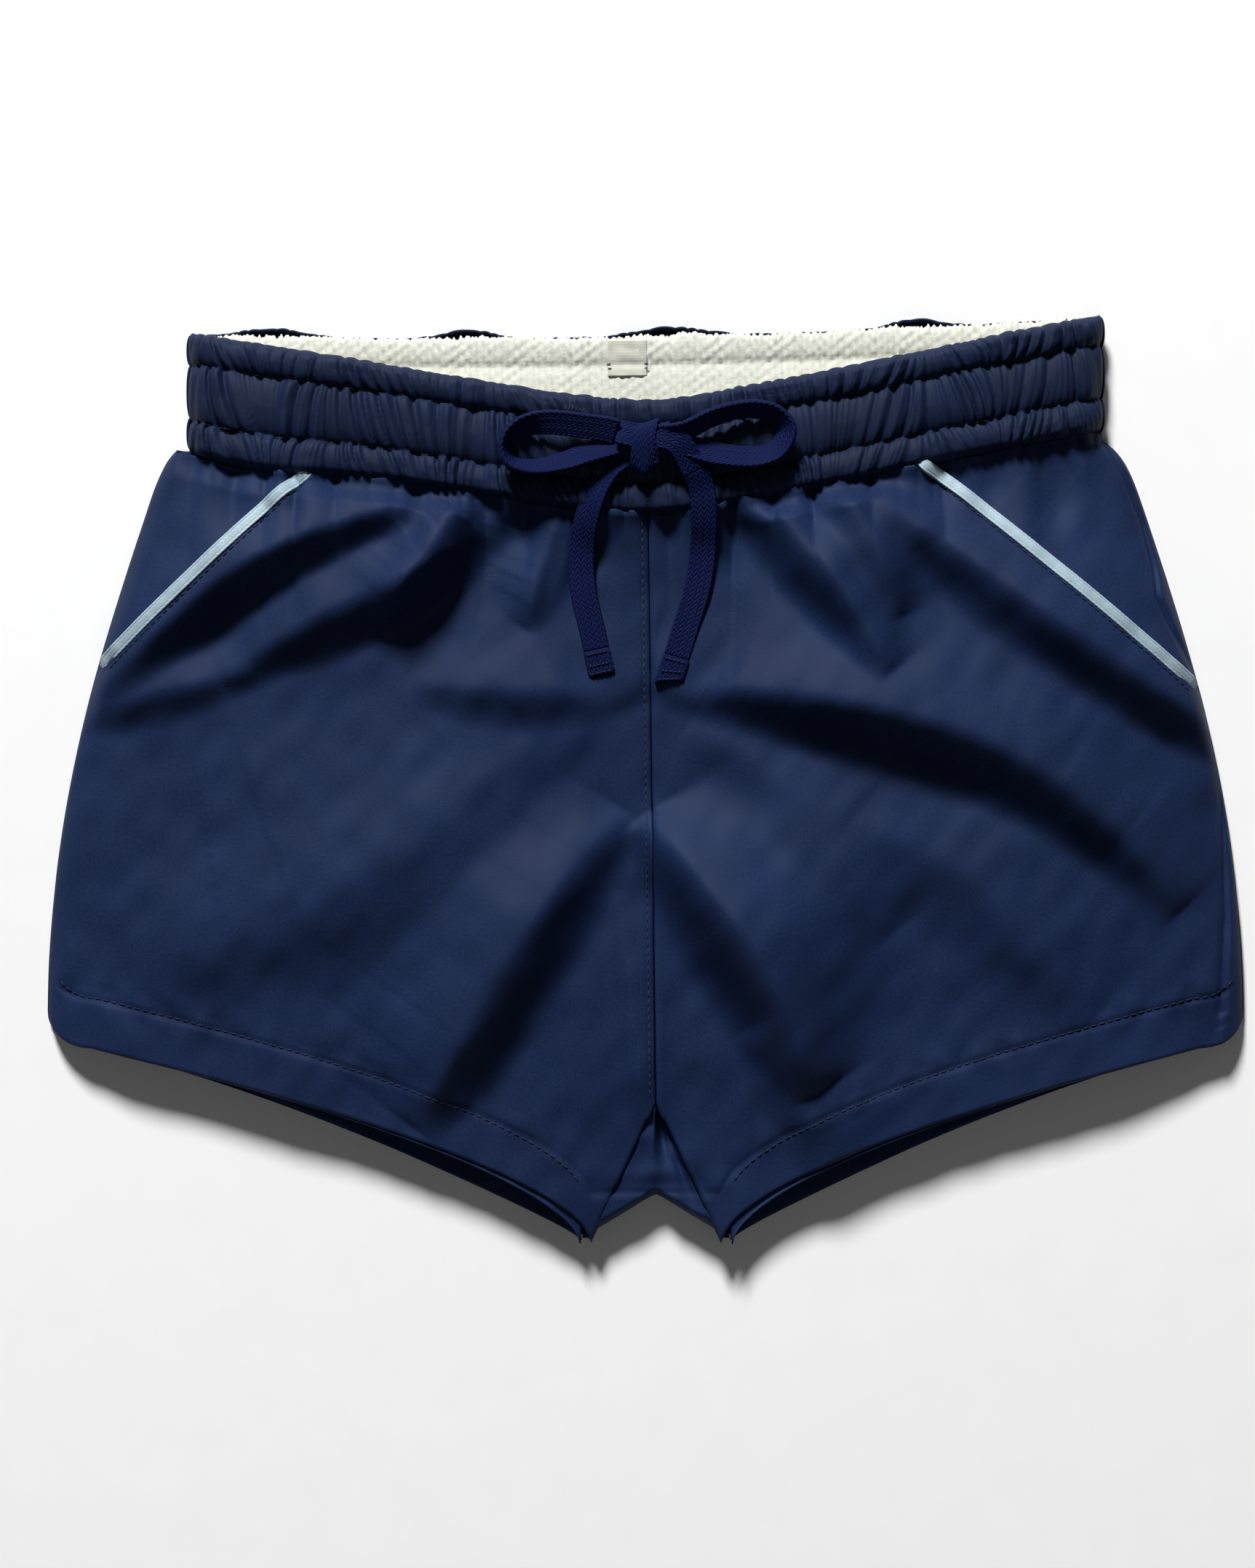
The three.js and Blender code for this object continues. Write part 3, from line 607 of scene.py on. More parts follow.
def brushed(name, dark, light):
    """Brushed terry: a soft, lumpy pile."""
    s = Surface(name, roughness=0.95, sheen=0.25, specular=0.1)
    pile = s.noise(0.0014, 4.0, where=s.place)
    lumps = s.noise(0.006, 2.0, where=s.place, stretch=(0.4, 2.0, 1))
    s.colour(s.blend(s.sum_of(pile, 0.5, lumps, 0.5), dark, light))
    s.bump(lumps, 0.0003, 0.5)
    s.bump(pile, 0.0003, 0.6)
    return s.material


def satin(name, dark, light, rib=0.0006):
    """Smooth satin tape with fine ribs along it."""
    s = Surface(name, roughness=0.5, sheen=0.1, specular=0.4)
    ribs = s.lines(rib, np.pi / 2)
    wear = s.noise(0.004, 3.0)
    s.colour(s.blend(s.sum_of(ribs, 0.25, wear, 0.8), dark, light))
    s.roughness(wear, 0.4, 0.65)
    s.bump(ribs, 0.00005, 0.6)
    return s.material


def thread(name, dark, light):
    """Twisted sewing thread, mapped in its place."""
    s = Surface(name, roughness=0.6, sheen=0.1, specular=0.3)
    twist = s.lines(0.0004, 0.9, where=s.place)
    wear = s.noise(0.002, 1.0, where=s.place)
    s.colour(s.blend(s.sum_of(twist, 0.5, wear), dark, light))
    s.bump(twist, 0.00008, 0.8)
    return s.material


def knitted(name, dark, light):
    """Elastic web: cords across it and fine cross ribs."""
    s = Surface(name, roughness=0.8, specular=0.2)
    cords = s.lines(0.0022, np.pi / 2)
    ribs = s.lines(0.0008)
    s.colour(s.blend(s.sum_of(cords, 0.5, s.noise(0.003)), dark, light))
    s.bump(cords, 0.0004, 0.7)
    s.bump(ribs, 0.0001, 0.6)
    return s.material


def matte_floor():
    s = Surface("floor", roughness=0.9, specular=0.1)
    grain = s.noise(0.02, 3.0, where=s.place)
    s.colour(s.blend(grain, (0.93, 0.93, 0.93, 1), (0.97, 0.97, 0.97, 1)))
    return s.material


BODY = woven("body_cloth", linear(11, 23, 48), linear(24, 44, 84))
# The band's cloth is the body's cloth in darker colours: the extra darkness is painted shade for the
# gathered waistband.
SHADED_BAND = woven("band_cloth", linear(9, 18, 37), linear(22, 37, 69))
POCKET = woven("pocket_lining", linear(44, 53, 76), linear(66, 76, 101), pitch=0.0009, grain=0.0016)
CORD = braided("drawcord", linear(1, 5, 28), linear(9, 26, 84))
TERRY = brushed("terry_lining", linear(192, 193, 180), linear(228, 230, 221))
PIPING = satin("piping", linear(122, 144, 157), linear(176, 197, 208))
LABEL = satin("label", linear(186, 187, 172), linear(206, 207, 194))
THREAD = thread("stitching", linear(8, 14, 30), linear(24, 36, 66))
ELASTIC = knitted("elastic", linear(205, 203, 190), linear(240, 238, 226))


# ---- Camera, light and floor ----

VIEW_HEIGHT = 0.6037  # what the long side of the frame takes in
VIEW_CENTRE = (-0.007, -0.0021)
LENS = 85
SENSOR = 36
MID_HEIGHT = 0.012
MAIN_LIGHT = {"place": (-1.0, 4.2, 2.75), "size": 1.1, "power": 440}
FILL_LIGHT = {"place": (0.5, -3.0, 4.0), "size": 2.4, "power": 12}
SURROUND = 0.05
FLOOR_HALF = 6.0


def camera():
    data = bpy.data.cameras.new("camera")
    data.lens = LENS
    data.sensor_width = SENSOR
    eye = bpy.data.objects.new("camera", data)
    eye.location = (*VIEW_CENTRE, VIEW_HEIGHT * LENS / SENSOR + MID_HEIGHT)
    bpy.context.scene.collection.objects.link(eye)
    bpy.context.scene.camera = eye


def soft_light(name, place, size, power):
    """A round lamp that faces the middle of the shorts."""
    data = bpy.data.lights.new(name, "AREA")
    data.shape = "DISK"
    data.size = size
    data.energy = power
    lamp = bpy.data.objects.new(name, data)
    lamp.location = place
    lamp.rotation_euler = Vector(place).to_track_quat("Z", "Y").to_euler()
    lamp.visible_camera = False
    bpy.context.scene.collection.objects.link(lamp)


def lights():
    """A soft main light from the waistband's side, a weak one opposite, and a pale surround."""
    soft_light("main", **MAIN_LIGHT)
    soft_light("fill", **FILL_LIGHT)
    world = bpy.data.worlds.new("surround")
    world.use_nodes = True
    sky = world.node_tree.nodes["Background"]
    sky.inputs["Color"].default_value = (1, 1, 1, 1)
    sky.inputs["Strength"].default_value = SURROUND
    bpy.context.scene.world = world
    bpy.context.scene.view_settings.view_transform = "Standard"


def floor():
    u, v = np.meshgrid((-FLOOR_HALF, FLOOR_HALF), (-FLOOR_HALF, FLOOR_HALF), indexing="xy")
    grid = np.stack([u, v, 0 * u], axis=-1)
    ground = make_mesh("floor", grid, quads(2, 2).tolist())
    ground.data.materials.append(matte_floor())


camera()
lights()
floor()


# ---- Placing a finished piece ----


def finish_piece(piece, material, body, *nodes):
    """Gives a piece its material and slot and hides the CAD nodes it stands for; a piece of the fold gets
    its transform baked in, any other goes under the body it moves with.
    """
    piece.data.materials.append(material)
    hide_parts(*nodes)
    if body == "fold":
        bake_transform(piece)
    else:
        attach(piece, body)
    return piece


def layer(name, x, y, z, wall, material, body, *nodes, flat=None):
    """A finished layer of cloth from the places of its top."""
    piece = shell(name, np.stack([x, y, z], axis=-1), wall, flat)
    return finish_piece(piece, material, body, *nodes)


# ---- Drawcord ----

KNOT_Y = front_top(KNOT_X) - CHANNEL_DROP * BAND_DEPTH + KNOT_ABOVE_CHANNEL
KNOT_Z = casing_level(KNOT_X) + CASING + GAP + KNOT_RADII[2]
KNOT = np.array([KNOT_X, KNOT_Y, KNOT_Z])

# The bow's routes, in millimetres from the middle of the knot, as in the CAD. Each tail's first
# stretch leans out to where the knot lets it go.
LEFT_LOOP = (
    (-12.8, 3.4, 2.4), (-17, 4.6, 2.4), (-26.5, 6, 2), (-37.7, 7.3, 1.3), (-47.5, 6.4, 0.6),
    (-53.7, 2.5, 0.1), (-55.3, -2.6, -0.1), (-52.8, -7.6, -0.2), (-44.7, -9.6, -0.2),
    (-33.5, -7.6, -0.2), (-24, -4.2, -0.2), (-12.8, -0.6, -0.2),
)
RIGHT_LOOP = (
    (12.8, 4, 2.4), (17, 6, 2.4), (22.5, 8.8, 2), (31, 11.6, 1.3), (40.2, 12.4, 0.6),
    (47.6, 10.2, 0.1), (51.6, 4.2, -0.1), (47.6, -3.2, -0.2), (38.4, -5.8, -0.2),
    (24.8, -4.6, -0.2), (18.5, -3, -0.2), (12.8, -1.4, -0.2),
)
LEFT_TAIL = (
    (-13.6, -7.4, -2.4), (-16.6, -10.8, -2.8), (-20, -16, -3.2), (-22.6, -22.5, -3.6),
    (-24.8, -30, -5.2), (-26.3, -39, -8.2), (-26.7, -48, -9.4), (-25.7, -58, -9.4),
    (-23, -69.2, -9.4), (-20.8, -79.2, -9.4),
)
RIGHT_TAIL = (
    (16.6, -10.6, 0.0), (18.0, -13.6, -1.2), (19.3, -18, -2.6), (20.1, -24.5, -3.6),
    (20.3, -31, -5.4), (20, -38.5, -8.3), (19.3, -47, -9.4), (17.4, -57, -9.4),
    (14, -68, -9.4), (9.7, -82, -9.4),
)
KNOT_STRANDS = (  # the first stretch of each strand, and how it rolls
    (((-3, 1.8, 1.4), (-8, 2.6, 2.2), (-13.2, 3.5, 2.4)), ((0, 10), (1, 24))),
    (((-3, -1.6, 0), (-8, -1.4, 0), (-13.2, -0.7, -0.2)), ((0, -10), (1, -28))),
    (((3, 1.6, 1.6), (8, 2.4, 2.2), (13.2, 4.1, 2.4)), ((0, 20), (1, 52))),
    (((3, -1.2, 0), (8, -1.3, 0), (13.2, -1.4, -0.2)), ((0, 0), (1, -30))),
    (((-4, -1.5, -2), (-9, -4, -2.2), (-14, -7.9, -2.5)), ((0, 0), (1, 24))),
    (((2.5, 2.2, 3), (7, 1.4, 3.2), (11.4, -1.8, 2.8), (17, -11.6, -0.3)), ((0, 0), (1, 0))),
)
HOLE_POINTS = ((0.0108, 0.0019), (0.0135, 0.0022))  # out from the knot's middle, and under it
FRONT_SHARES = (0.18, 0.3, 0.5, 0.7, 0.85, 0.95)
BACK_SHARES = (0.95, 0.8, 0.5)
LEFT_LOOP_ROLLS = ((0, -24), (0.3, -30), (0.47, -66), (0.6, -60), (0.85, -36), (1, -28))
RIGHT_LOOP_ROLLS = ((0, 52), (0.25, 58), (0.45, 50), (0.6, 40), (0.85, 30), (1, 30))
LEFT_TAIL_ROLLS = ((0, 24), (0.25, 26), (0.5, 6), (1, 0))
RIGHT_TAIL_ROLLS = ((0, 0), (1, 0))
RIGHT_END_SLANT = -0.4
WRAP_WIDTH = 0.0112
COLLAR_WIDTH = 0.0062
TAB_LENGTH = 0.010
TAB_THICKNESS = 0.0026
TAB_STITCH = (0.0016, 0.0013)  # spacing and length
PLAIT = 0.0021
COLUMN = 0.00125
RIB_RELIEF = 0.00012
SECTION_POINTS = 44


def from_knot(route):
    return KNOT + np.array(route, float) * MM


def smooth_line(points, step):
    """A Catmull-Rom line through points, at even steps, and the length along it."""
    p = np.array(points, float)
    p = np.concatenate([[2 * p[0] - p[1]], p, [2 * p[-1] - p[-2]]])
    t = np.linspace(0, 1, 24, endpoint=False)[:, None]
    runs = []
    for a, b, c, d in zip(p, p[1:], p[2:], p[3:]):
        cubic = (3 * (b - c) + d - a) * t**3 + (2 * a - 5 * b + 4 * c - d) * t**2
        runs.append((cubic + (c - a) * t) / 2 + b)
    dense = np.concatenate([*runs, [p[-2]]])
    arc = np.concatenate([[0], np.cumsum(np.linalg.norm(np.diff(dense, axis=0), axis=1))])
    count = max(int(arc[-1] / step), 2)
    even = np.linspace(0, arc[-1], count + 1)
    return np.stack([np.interp(even, arc, dense[:, k]) for k in range(3)], axis=1), even


def unit(vectors):
    return vectors / np.maximum(np.linalg.norm(vectors, axis=-1, keepdims=True), 1e-12)


def flat_cord(points, width=CORD_WIDTH, thick=CORD_THICKNESS, rolls=((0, 0), (1, 0)), across=None,
              step=0.0006, reshape=None):
    """Points, faces, flat map and middle line of a flat braid; rolls are (share of length, degrees)."""
    line, arc = smooth_line(points, step)
    along = unit(np.gradient(line, axis=0))
    side = np.cross((0, 0, 1), along) if across is None else np.array(across, float) + 0 * along
    side = unit(side - along * (side * along).sum(1, keepdims=True))
    up = np.cross(along, side)
    share = arc / arc[-1]
    angle = np.radians(np.interp(share, *np.array(rolls, float).T))[:, None]
    side, up = np.cos(angle) * side + np.sin(angle) * up, np.cos(angle) * up - np.sin(angle) * side
    turn = np.linspace(0, 2 * np.pi, SECTION_POINTS, endpoint=False)
    flat_x = np.sign(np.cos(turn)) * np.abs(np.cos(turn)) ** 0.75 * width / 2
    flat_z = np.sign(np.sin(turn)) * np.abs(np.sin(turn)) ** 0.55 * thick / 2
    column = flat_x / COLUMN
    zigzag = np.abs((column % 2) - 1)
    phase = 2 * np.pi * (arc[:, None] / PLAIT + zigzag)
    relief = RIB_RELIEF * (np.abs(np.sin(np.pi * column)) + 0.6 * np.sin(phase))
    border = 0.0002 * smooth(0.32, 0.44, np.abs(flat_x / width)) * np.sign(flat_z)
    height = flat_z + border + relief * np.sign(flat_z)
    tip = np.minimum(1, np.minimum(arc, arc[-1] - arc) / (thick / 2))
    tip = np.sqrt(1 - (1 - 0.9 * tip) ** 2)[:, None]
    grid = line[:, None] + side[:, None] * flat_x[None, :, None] * mix(0.93, 1, tip)[:, :, None]
    grid = grid + up[:, None] * (height * tip)[:, :, None]
    if reshape is not None:
        grid = reshape(grid, flat_x[None, :] + 0 * arc[:, None], share[:, None])
    faces = tube_faces(len(arc), SECTION_POINTS)
    flat = np.stack(np.broadcast_arrays(arc[:, None], flat_x[None, :] + width), axis=-1)
    return grid.reshape(-1, 3), faces, flat.reshape(-1, 2), line


def tube_faces(rows, sides):
    """The faces of a closed tube of rings, with a cap at both ends."""
    index = np.arange(rows * sides).reshape(rows, sides)
    after = np.roll(index, -1, axis=1)
    walls = np.stack([index[:-1], after[:-1], after[1:], index[1:]], axis=-1).reshape(-1, 4)
    return walls.tolist() + [index[0][::-1].tolist(), index[-1].tolist()]


def join(name, parts):
    """One mesh object from several (points, faces, flat map) parts."""
    faces, start = [], 0
    for points, part_faces, *_ in parts:
        faces += [[i + start for i in face] for face in part_faces]
        start += len(points)
    points, flat = (np.concatenate([part[k] for part in parts]) for k in (0, 2))
    return make_mesh(name, points, faces, flat)


def stitch(start, end, radius=STITCH_RADIUS, sides=6):
    """One stitch: a short thread with round ends that bows up a little."""
    start, end = np.array(start, float), np.array(end, float)
    along = unit(end - start)
    side = unit(np.cross((0, 0, 1), along))
    up = np.cross(along, side)
    shares = np.array([0, 0.08, 0.3, 0.7, 0.92, 1])
    width = radius * np.array([0.25, 0.8, 1, 1, 0.8, 0.25])
    lift = radius * np.array([-0.6, 0.1, 0.6, 0.6, 0.1, -0.6])
    turn = np.linspace(0, 2 * np.pi, sides, endpoint=False)
    centre = start + shares[:, None] * (end - start) + lift[:, None] * up
    ring = np.cos(turn)[:, None] * side + np.sin(turn)[:, None] * up
    grid = centre[:, None] + width[:, None, None] * ring[None]
    faces = tube_faces(len(shares), sides)
    flat = np.stack([centre[:, None, 0] + 0 * turn, centre[:, None, 1] + 0 * turn], axis=-1)
    return grid.reshape(-1, 3), faces, flat.reshape(-1, 2)


def sew(name, stitches, body, *nodes):
    """One finished piece from all the stitches of a row or ring."""
    return finish_piece(join(name, stitches), THREAD, body, *nodes)


def stitch_row(line, pitch=STITCH_PITCH, length=STITCH_LENGTH):
    """Stitches along a line of points."""
    line = np.array(line, float)
    arc = np.concatenate([[0], np.cumsum(np.linalg.norm(np.diff(line, axis=0), axis=1))])
    starts = np.arange(0, arc[-1] - length, pitch)
    at = lambda s: np.array([np.interp(s, arc, line[:, k]) for k in range(3)])
    return [stitch(at(s), at(s + length)) for s in starts]


def loop(side, route, rolls):
    word = SIDE_WORD[side]
    points, faces, flat, line = flat_cord(from_knot(route), rolls=rolls)
    piece = join(f"bow_loop_{word}_cord", [(points, faces, flat)])
    finish_piece(piece, CORD, f"loop_{word}", f"bow_loop_{word}")


def tail(side, route, rolls, slant):
    word = SIDE_WORD[side]
    points, faces, flat, line = flat_cord(from_knot(route), rolls=rolls)
    piece = join(f"cord_tail_{word}_cord", [(points, faces, flat)])
    finish_piece(piece, CORD, f"tail_{word}", f"cord_tail_{word}")
    tab = tail_tab(word, line, slant)


def tail_tab(word, line, slant):
    """The end folded back on itself and stitched down; slant cuts its end askew."""
    along = unit(line[-1] - line[-6])
    side = np.cross((0, 0, 1), along)
    middle = line[-1] + (TAB_THICKNESS - CORD_THICKNESS) / 2 * np.array([0, 0, 1.0])
    ends = [middle - 0.0006 * along, middle + TAB_LENGTH * along]

    def cut(grid, across, share):
        return grid + along * (slant * across * smooth(0, 1, share))[:, :, None]

    body = flat_cord(ends, width=1.04 * CORD_WIDTH, thick=TAB_THICKNESS, reshape=cut)
    top = middle + (TAB_THICKNESS / 2 + 0.0003) * np.array([0, 0, 1.0])
    rows = []
    for share in (0.1, 0.55, 0.85):
        base = top + share * TAB_LENGTH * along
        reach = 0.42 * CORD_WIDTH
        skew = slant * share * along
        offset = reach * (side + skew)
        rows += stitch_row([base - offset, base + offset], *TAB_STITCH)
    tab = join(f"cord_end_{word}_tab", [body])
    finish_piece(tab, CORD, f"tail_{word}", f"cord_end_{word}")
    sew(f"cord_end_{word}_stitches", rows, f"tail_{word}")
    return tab


def knot():
    """The cord wrapped over itself, with the first stretch of every strand that leaves it."""
    def pinched(grid, across, share):
        bottom = bell(share, 0.29, 0.11)
        point = 0.0046 * bottom * (1 - np.abs(across) / (0.55 * CORD_WIDTH))
        waist = 1 - 0.22 * bell(share, 0.5, 0.16)
        x = KNOT[0] + (grid[..., 0] - KNOT[0]) * waist
        return np.stack([x, grid[..., 1] - point, grid[..., 2]], axis=-1)

    turns = np.radians(np.linspace(-90, -450, 15))
    ring = np.stack([-1.2 - 1.6 * np.sin(turns), 7.4 * np.cos(turns), 3.3 * np.sin(turns)], axis=1)
    first = from_knot(ring + (-1.0, -0.9, 0))
    wrap = flat_cord(first, width=WRAP_WIDTH, across=(1, 0.22, 0), reshape=pinched)
    second = np.stack([4.4 - 1.2 * np.sin(turns), 5.6 * np.cos(turns) + 0.4, 2.5 * np.sin(turns)], axis=1)
    collar = flat_cord(from_knot(second), width=COLLAR_WIDTH, across=(1, 0.35, 0))
    strands = [flat_cord(from_knot(route), rolls=rolls) for route, rolls in KNOT_STRANDS]
    piece = join("bow_knot_wrap", [wrap, collar, *strands])
    finish_piece(piece, CORD, "hips", "bow_knot")


def channel_cord():
    """The cord inside the waistband, out at both buttonholes."""
    turn = WAIST_HALF - 0.0055
    outside = WAIST_HALF - 0.0024

    def front(x):
        return (x, front_top(x) - CHANNEL_DROP * BAND_DEPTH, band_level(x) + 0.0035)

    def back(x):
        return (x, back_top(x) - CHANNEL_DROP * BAND_DEPTH, 0.0036)

    hole_y = KNOT_Y - KNOT_ABOVE_CHANNEL
    routes = []
    for side in (LEFT, RIGHT):
        start = [(KNOT_X + side * out, hole_y, KNOT_Z - under) for out, under in HOLE_POINTS]
        run = [front(side * share * turn) for share in FRONT_SHARES]
        y = front_top(side * outside) - CHANNEL_DROP * BAND_DEPTH
        behind = [back(side * share * turn) for share in BACK_SHARES]
        routes.append([*start, *run, (side * outside, y, BAND_MEET), *behind])
    route = routes[0] + routes[1][::-1]
    cord = flat_cord(route, across=(0, 1, 0), step=0.0015)
    piece = join("channel_cord", [cord])
    finish_piece(piece, CORD, "hips", "drawcord_in_channel")


loop(LEFT, LEFT_LOOP, LEFT_LOOP_ROLLS)
loop(RIGHT, RIGHT_LOOP, RIGHT_LOOP_ROLLS)
tail(LEFT, LEFT_TAIL, LEFT_TAIL_ROLLS, 0.0)
tail(RIGHT, RIGHT_TAIL, RIGHT_TAIL_ROLLS, RIGHT_END_SLANT)
knot()
channel_cord()


# ---- Waistband ----

SLIVERS = ((-145, 17), (-69, 13), (9, 19), (105, 13))  # centre and half width, in millimetres
BAND_ROUND = 0.008
LINING_HALF = WAIST_HALF - 0.006
LINING_START = 0.004  # from the waist seam up to the front lining's edge
LINING_WALL = 0.0007
BACK_CASING_WALL = 0.0008
ELASTIC_INSET = 0.003
ELASTIC_CORD = 0.0022
CASING_GRID = (76, 620)
LINING_GRID = (40, 900)
ELASTIC_GRID = (24, 120)
FRONT_SEED = 31
BACK_SEED = 61
BAND_STITCH = (0.0027, 0.0021)  # spacing and length
BAR_TACK_X = -0.0272
BAR_TACK_PITCH = 0.0007
BAR_TACK_SHARES = (0.84, 0.97)
HOLE_REACH = (0.0078, 0.0064)
HOLE_APART = 0.019
LABEL_X = -0.007
LABEL_SIZE = (0.015, 0.014)


def tier_profile(v):
    """1 at the crest of a tier and 0 at its stitch rows, for shares v of the band's depth."""
    edges = np.array(TIERS)
    index = np.clip(np.searchsorted(edges, v, side="right") - 1, 0, len(TIERS) - 2)
    across = (v - edges[index]) / (edges[index + 1] - edges[index])
    return (1 - np.clip(np.abs(2 * across - 1), 0, 1) ** 2.4) ** 0.6, index, across


def band_gathers(x, v, seed):
    """Ruched gathers, drawn up at the stitch rows and softer inside each tier."""
    index, across = tier_profile(v)[1:]
    lean = 0.006 * (across - 0.5) * waves(x, 0 * x, 0.045, seed + 7)
    total = 0
    for tier, pitch in enumerate((RUCHE_PITCH, 1.25 * RUCHE_PITCH, RUCHE_PITCH)):
        gathers = ruche(x + lean, pitch, seed + 11 * tier) - 0.5
        fine = 0.3 * (ruche(x + lean, pitch / 2.3, seed + 5 + 11 * tier) - 0.5)
        total = total + (index == tier) * (gathers + fine)
    strength = 0.55 + 0.45 * np.abs(2 * across - 1)
    return total * strength


def band_shares(half, rows, columns):
    x = half * (2 * spaced(columns, 0.15) - 1)
    return np.meshgrid(x, spaced(rows, 0.3), indexing="xy")


def casing_front(x, v):
    """Top of the front of the band."""
    crest = tier_profile(v)[0]
    level = casing_level(x) + mix(0.0003, TIER_RELIEF, crest) + 0.0034 * band_gathers(x, v, FRONT_SEED)
    depth = BAND_DEPTH * np.minimum(v, 1 - v)
    level = rounded(level, band_level(x) + 0.0014, depth, 0.0035)
    return rounded(level, BAND_MEET, WAIST_HALF - np.abs(x), BAND_ROUND)


def casing_back(x, v):
    """The outer side of the back of the band, which lies on the floor."""
    crest = tier_profile(v)[0]
    level = 0.0005 + 0.0011 * (1 - crest) - 0.0005 * band_gathers(x, v, BACK_SEED)
    level = rounded(np.maximum(level, 0.0001), BACK_STACK - 0.0014, BAND_DEPTH * (1 - v), 0.003)
    return rounded(level, BAND_MEET - 0.0004, WAIST_HALF - np.abs(x), BAND_ROUND)


def pinched_x(x, v):
    """The band's sides draw in at its stitch rows."""
    crest = tier_profile(v)[0]
    return x * (1 - 0.0014 * (1 - crest) / WAIST_HALF)


def band_pieces():
    x, v = band_shares(WAIST_HALF, *CASING_GRID)
    scallop = 0.0008 * (ruche(x, RUCHE_PITCH, FRONT_SEED + 22) - 0.5)
    y = mix(front_seam(x), front_top(x) + scallop, v)
    flat = np.stack([x, y], axis=-1)
    layer("waist_casing_front_cloth", pinched_x(x, v), y, casing_front(x, v), WALL,
          SHADED_BAND, "hips", "waist_casing_front", flat=flat)

    sliver = -0.0014 + sum(0.0034 * bell(x, cx * MM, half * MM) for cx, half in SLIVERS)
    scallop = 0.0006 * (ruche(x, RUCHE_PITCH, 70) - 0.5)
    y = mix(back_seam(x), back_top(x) + sliver + scallop, v)
    layer("waist_casing_back_cloth", pinched_x(x, v), y, casing_back(x, v) + 0.0009, BACK_CASING_WALL,
          SHADED_BAND, "hips", "waist_casing_back", flat=flat)

    x, v = band_shares(LINING_HALF, *LINING_GRID)
    crest = tier_profile(v)[0]
    soft = 0.0003 * (ruche(x, 0.008, 91) - 0.5) + 0.00022 * waves(x, v * BAND_DEPTH, 0.0026, 92)
    fuzz = 0.0005 * waves(x, 0 * x, 0.0016, 93) + 0.0005 * waves(x, 0 * x, 0.005, 94)
    fuzz = fuzz * smooth(0.8, 1, v)
    level = BACK_STACK + 0.0016 * (crest - 0.4) + soft
    level = rounded(level, BACK_STACK - 0.0012, BAND_DEPTH * (1 - v), 0.002)
    y = mix(back_seam(x), back_top(x) + fuzz, v)
    layer("waist_lining_back_terry", x, y, level, LINING_WALL, TERRY, "hips", "waist_lining_back")

    level = band_level(x) + 0.0009 - soft
    y = mix(front_seam(x) + LINING_START, front_top(x) - 0.0006 + fuzz, v)
    layer("waist_lining_front_terry", x, y, level, LINING_WALL, TERRY, "hips", "waist_lining_front")

    x, v = band_shares(LINING_HALF, *ELASTIC_GRID)
    cords = 0.00015 * np.sin(2 * np.pi * v * BAND_DEPTH / ELASTIC_CORD)
    y = mix(front_seam(x) + ELASTIC_INSET, front_top(x) - ELASTIC_INSET, v)
    level = band_level(x) + 0.0021 + cords
    layer("waist_elastic_front_web", x, y, level, LINING_WALL, ELASTIC, "hips", "waist_elastic_front")
    y = mix(back_seam(x) + ELASTIC_INSET, back_top(x) - ELASTIC_INSET, v)
    level = 0.0056 + cords
    layer("waist_elastic_back_web", x, y, level, LINING_WALL, ELASTIC, "hips", "waist_elastic_back")


def band_stitches():
    """Two stitch rows round the band, and the bar tack near the middle of its top edge."""
    rows = []
    x = np.linspace(-WAIST_HALF + 0.006, WAIST_HALF - 0.006, 260)
    for share in TIERS[1:-1]:
        v = share + 0 * x
        y = mix(front_seam(x), front_top(x), v)
        front = np.stack([x, y, casing_front(x, v) + 0.0001], axis=-1)
        y = mix(back_seam(x), back_top(x), v)
        back = np.stack([x, y, casing_back(x, v) + 0.0001], axis=-1)
        rows += stitch_row(front, *BAND_STITCH) + stitch_row(back, *BAND_STITCH)
    for k in range(12):
        x0 = BAR_TACK_X + BAR_TACK_PITCH * (k - 6)
        shares = BAR_TACK_SHARES if k % 2 else BAR_TACK_SHARES[::-1]
        ends = []
        for x1, v in zip((x0, x0 + BAR_TACK_PITCH), shares):
            y = mix(front_seam(x0), front_top(x0), v)
            ends.append((x1, y, casing_front(np.array(x1), np.array(v)) + 0.0003))
        rows.append(stitch(*ends, radius=TACK_RADIUS))
    sew("waistband_stitching", rows, "hips")


def label():
    width, height = LABEL_SIZE
    u, v = np.meshgrid(np.linspace(-0.5, 0.5, 30), np.linspace(0, 1, 28), indexing="xy")
    x = LABEL_X + width * u
    y = back_top(x) - 0.002 - height * (1 - v)
    z = BACK_STACK + 0.0010 + 0.0003 * np.sin(np.pi * (u + 0.5)) + 0.00012 * waves(x, y, 0.006, 97)
    z = z - 0.0006 * bell(y, back_top(x) - 0.0115, 0.0015)
    layer("size_label_blank", x, y, z, 0.0003, LABEL, "hips", "size_label")
    tacks = []
    for side in (LEFT, RIGHT):
        x0 = LABEL_X + side * 0.48 * width
        for k in range(2):
            y0 = back_top(x0) - 0.0118 + 0.0005 * k
            ends = [(x0 + reach, y0, BACK_STACK + 0.0018) for reach in (-0.0008, 0.0008)]
            tacks.append(stitch(*ends))
    sew("size_label_tacks", tacks, "hips")


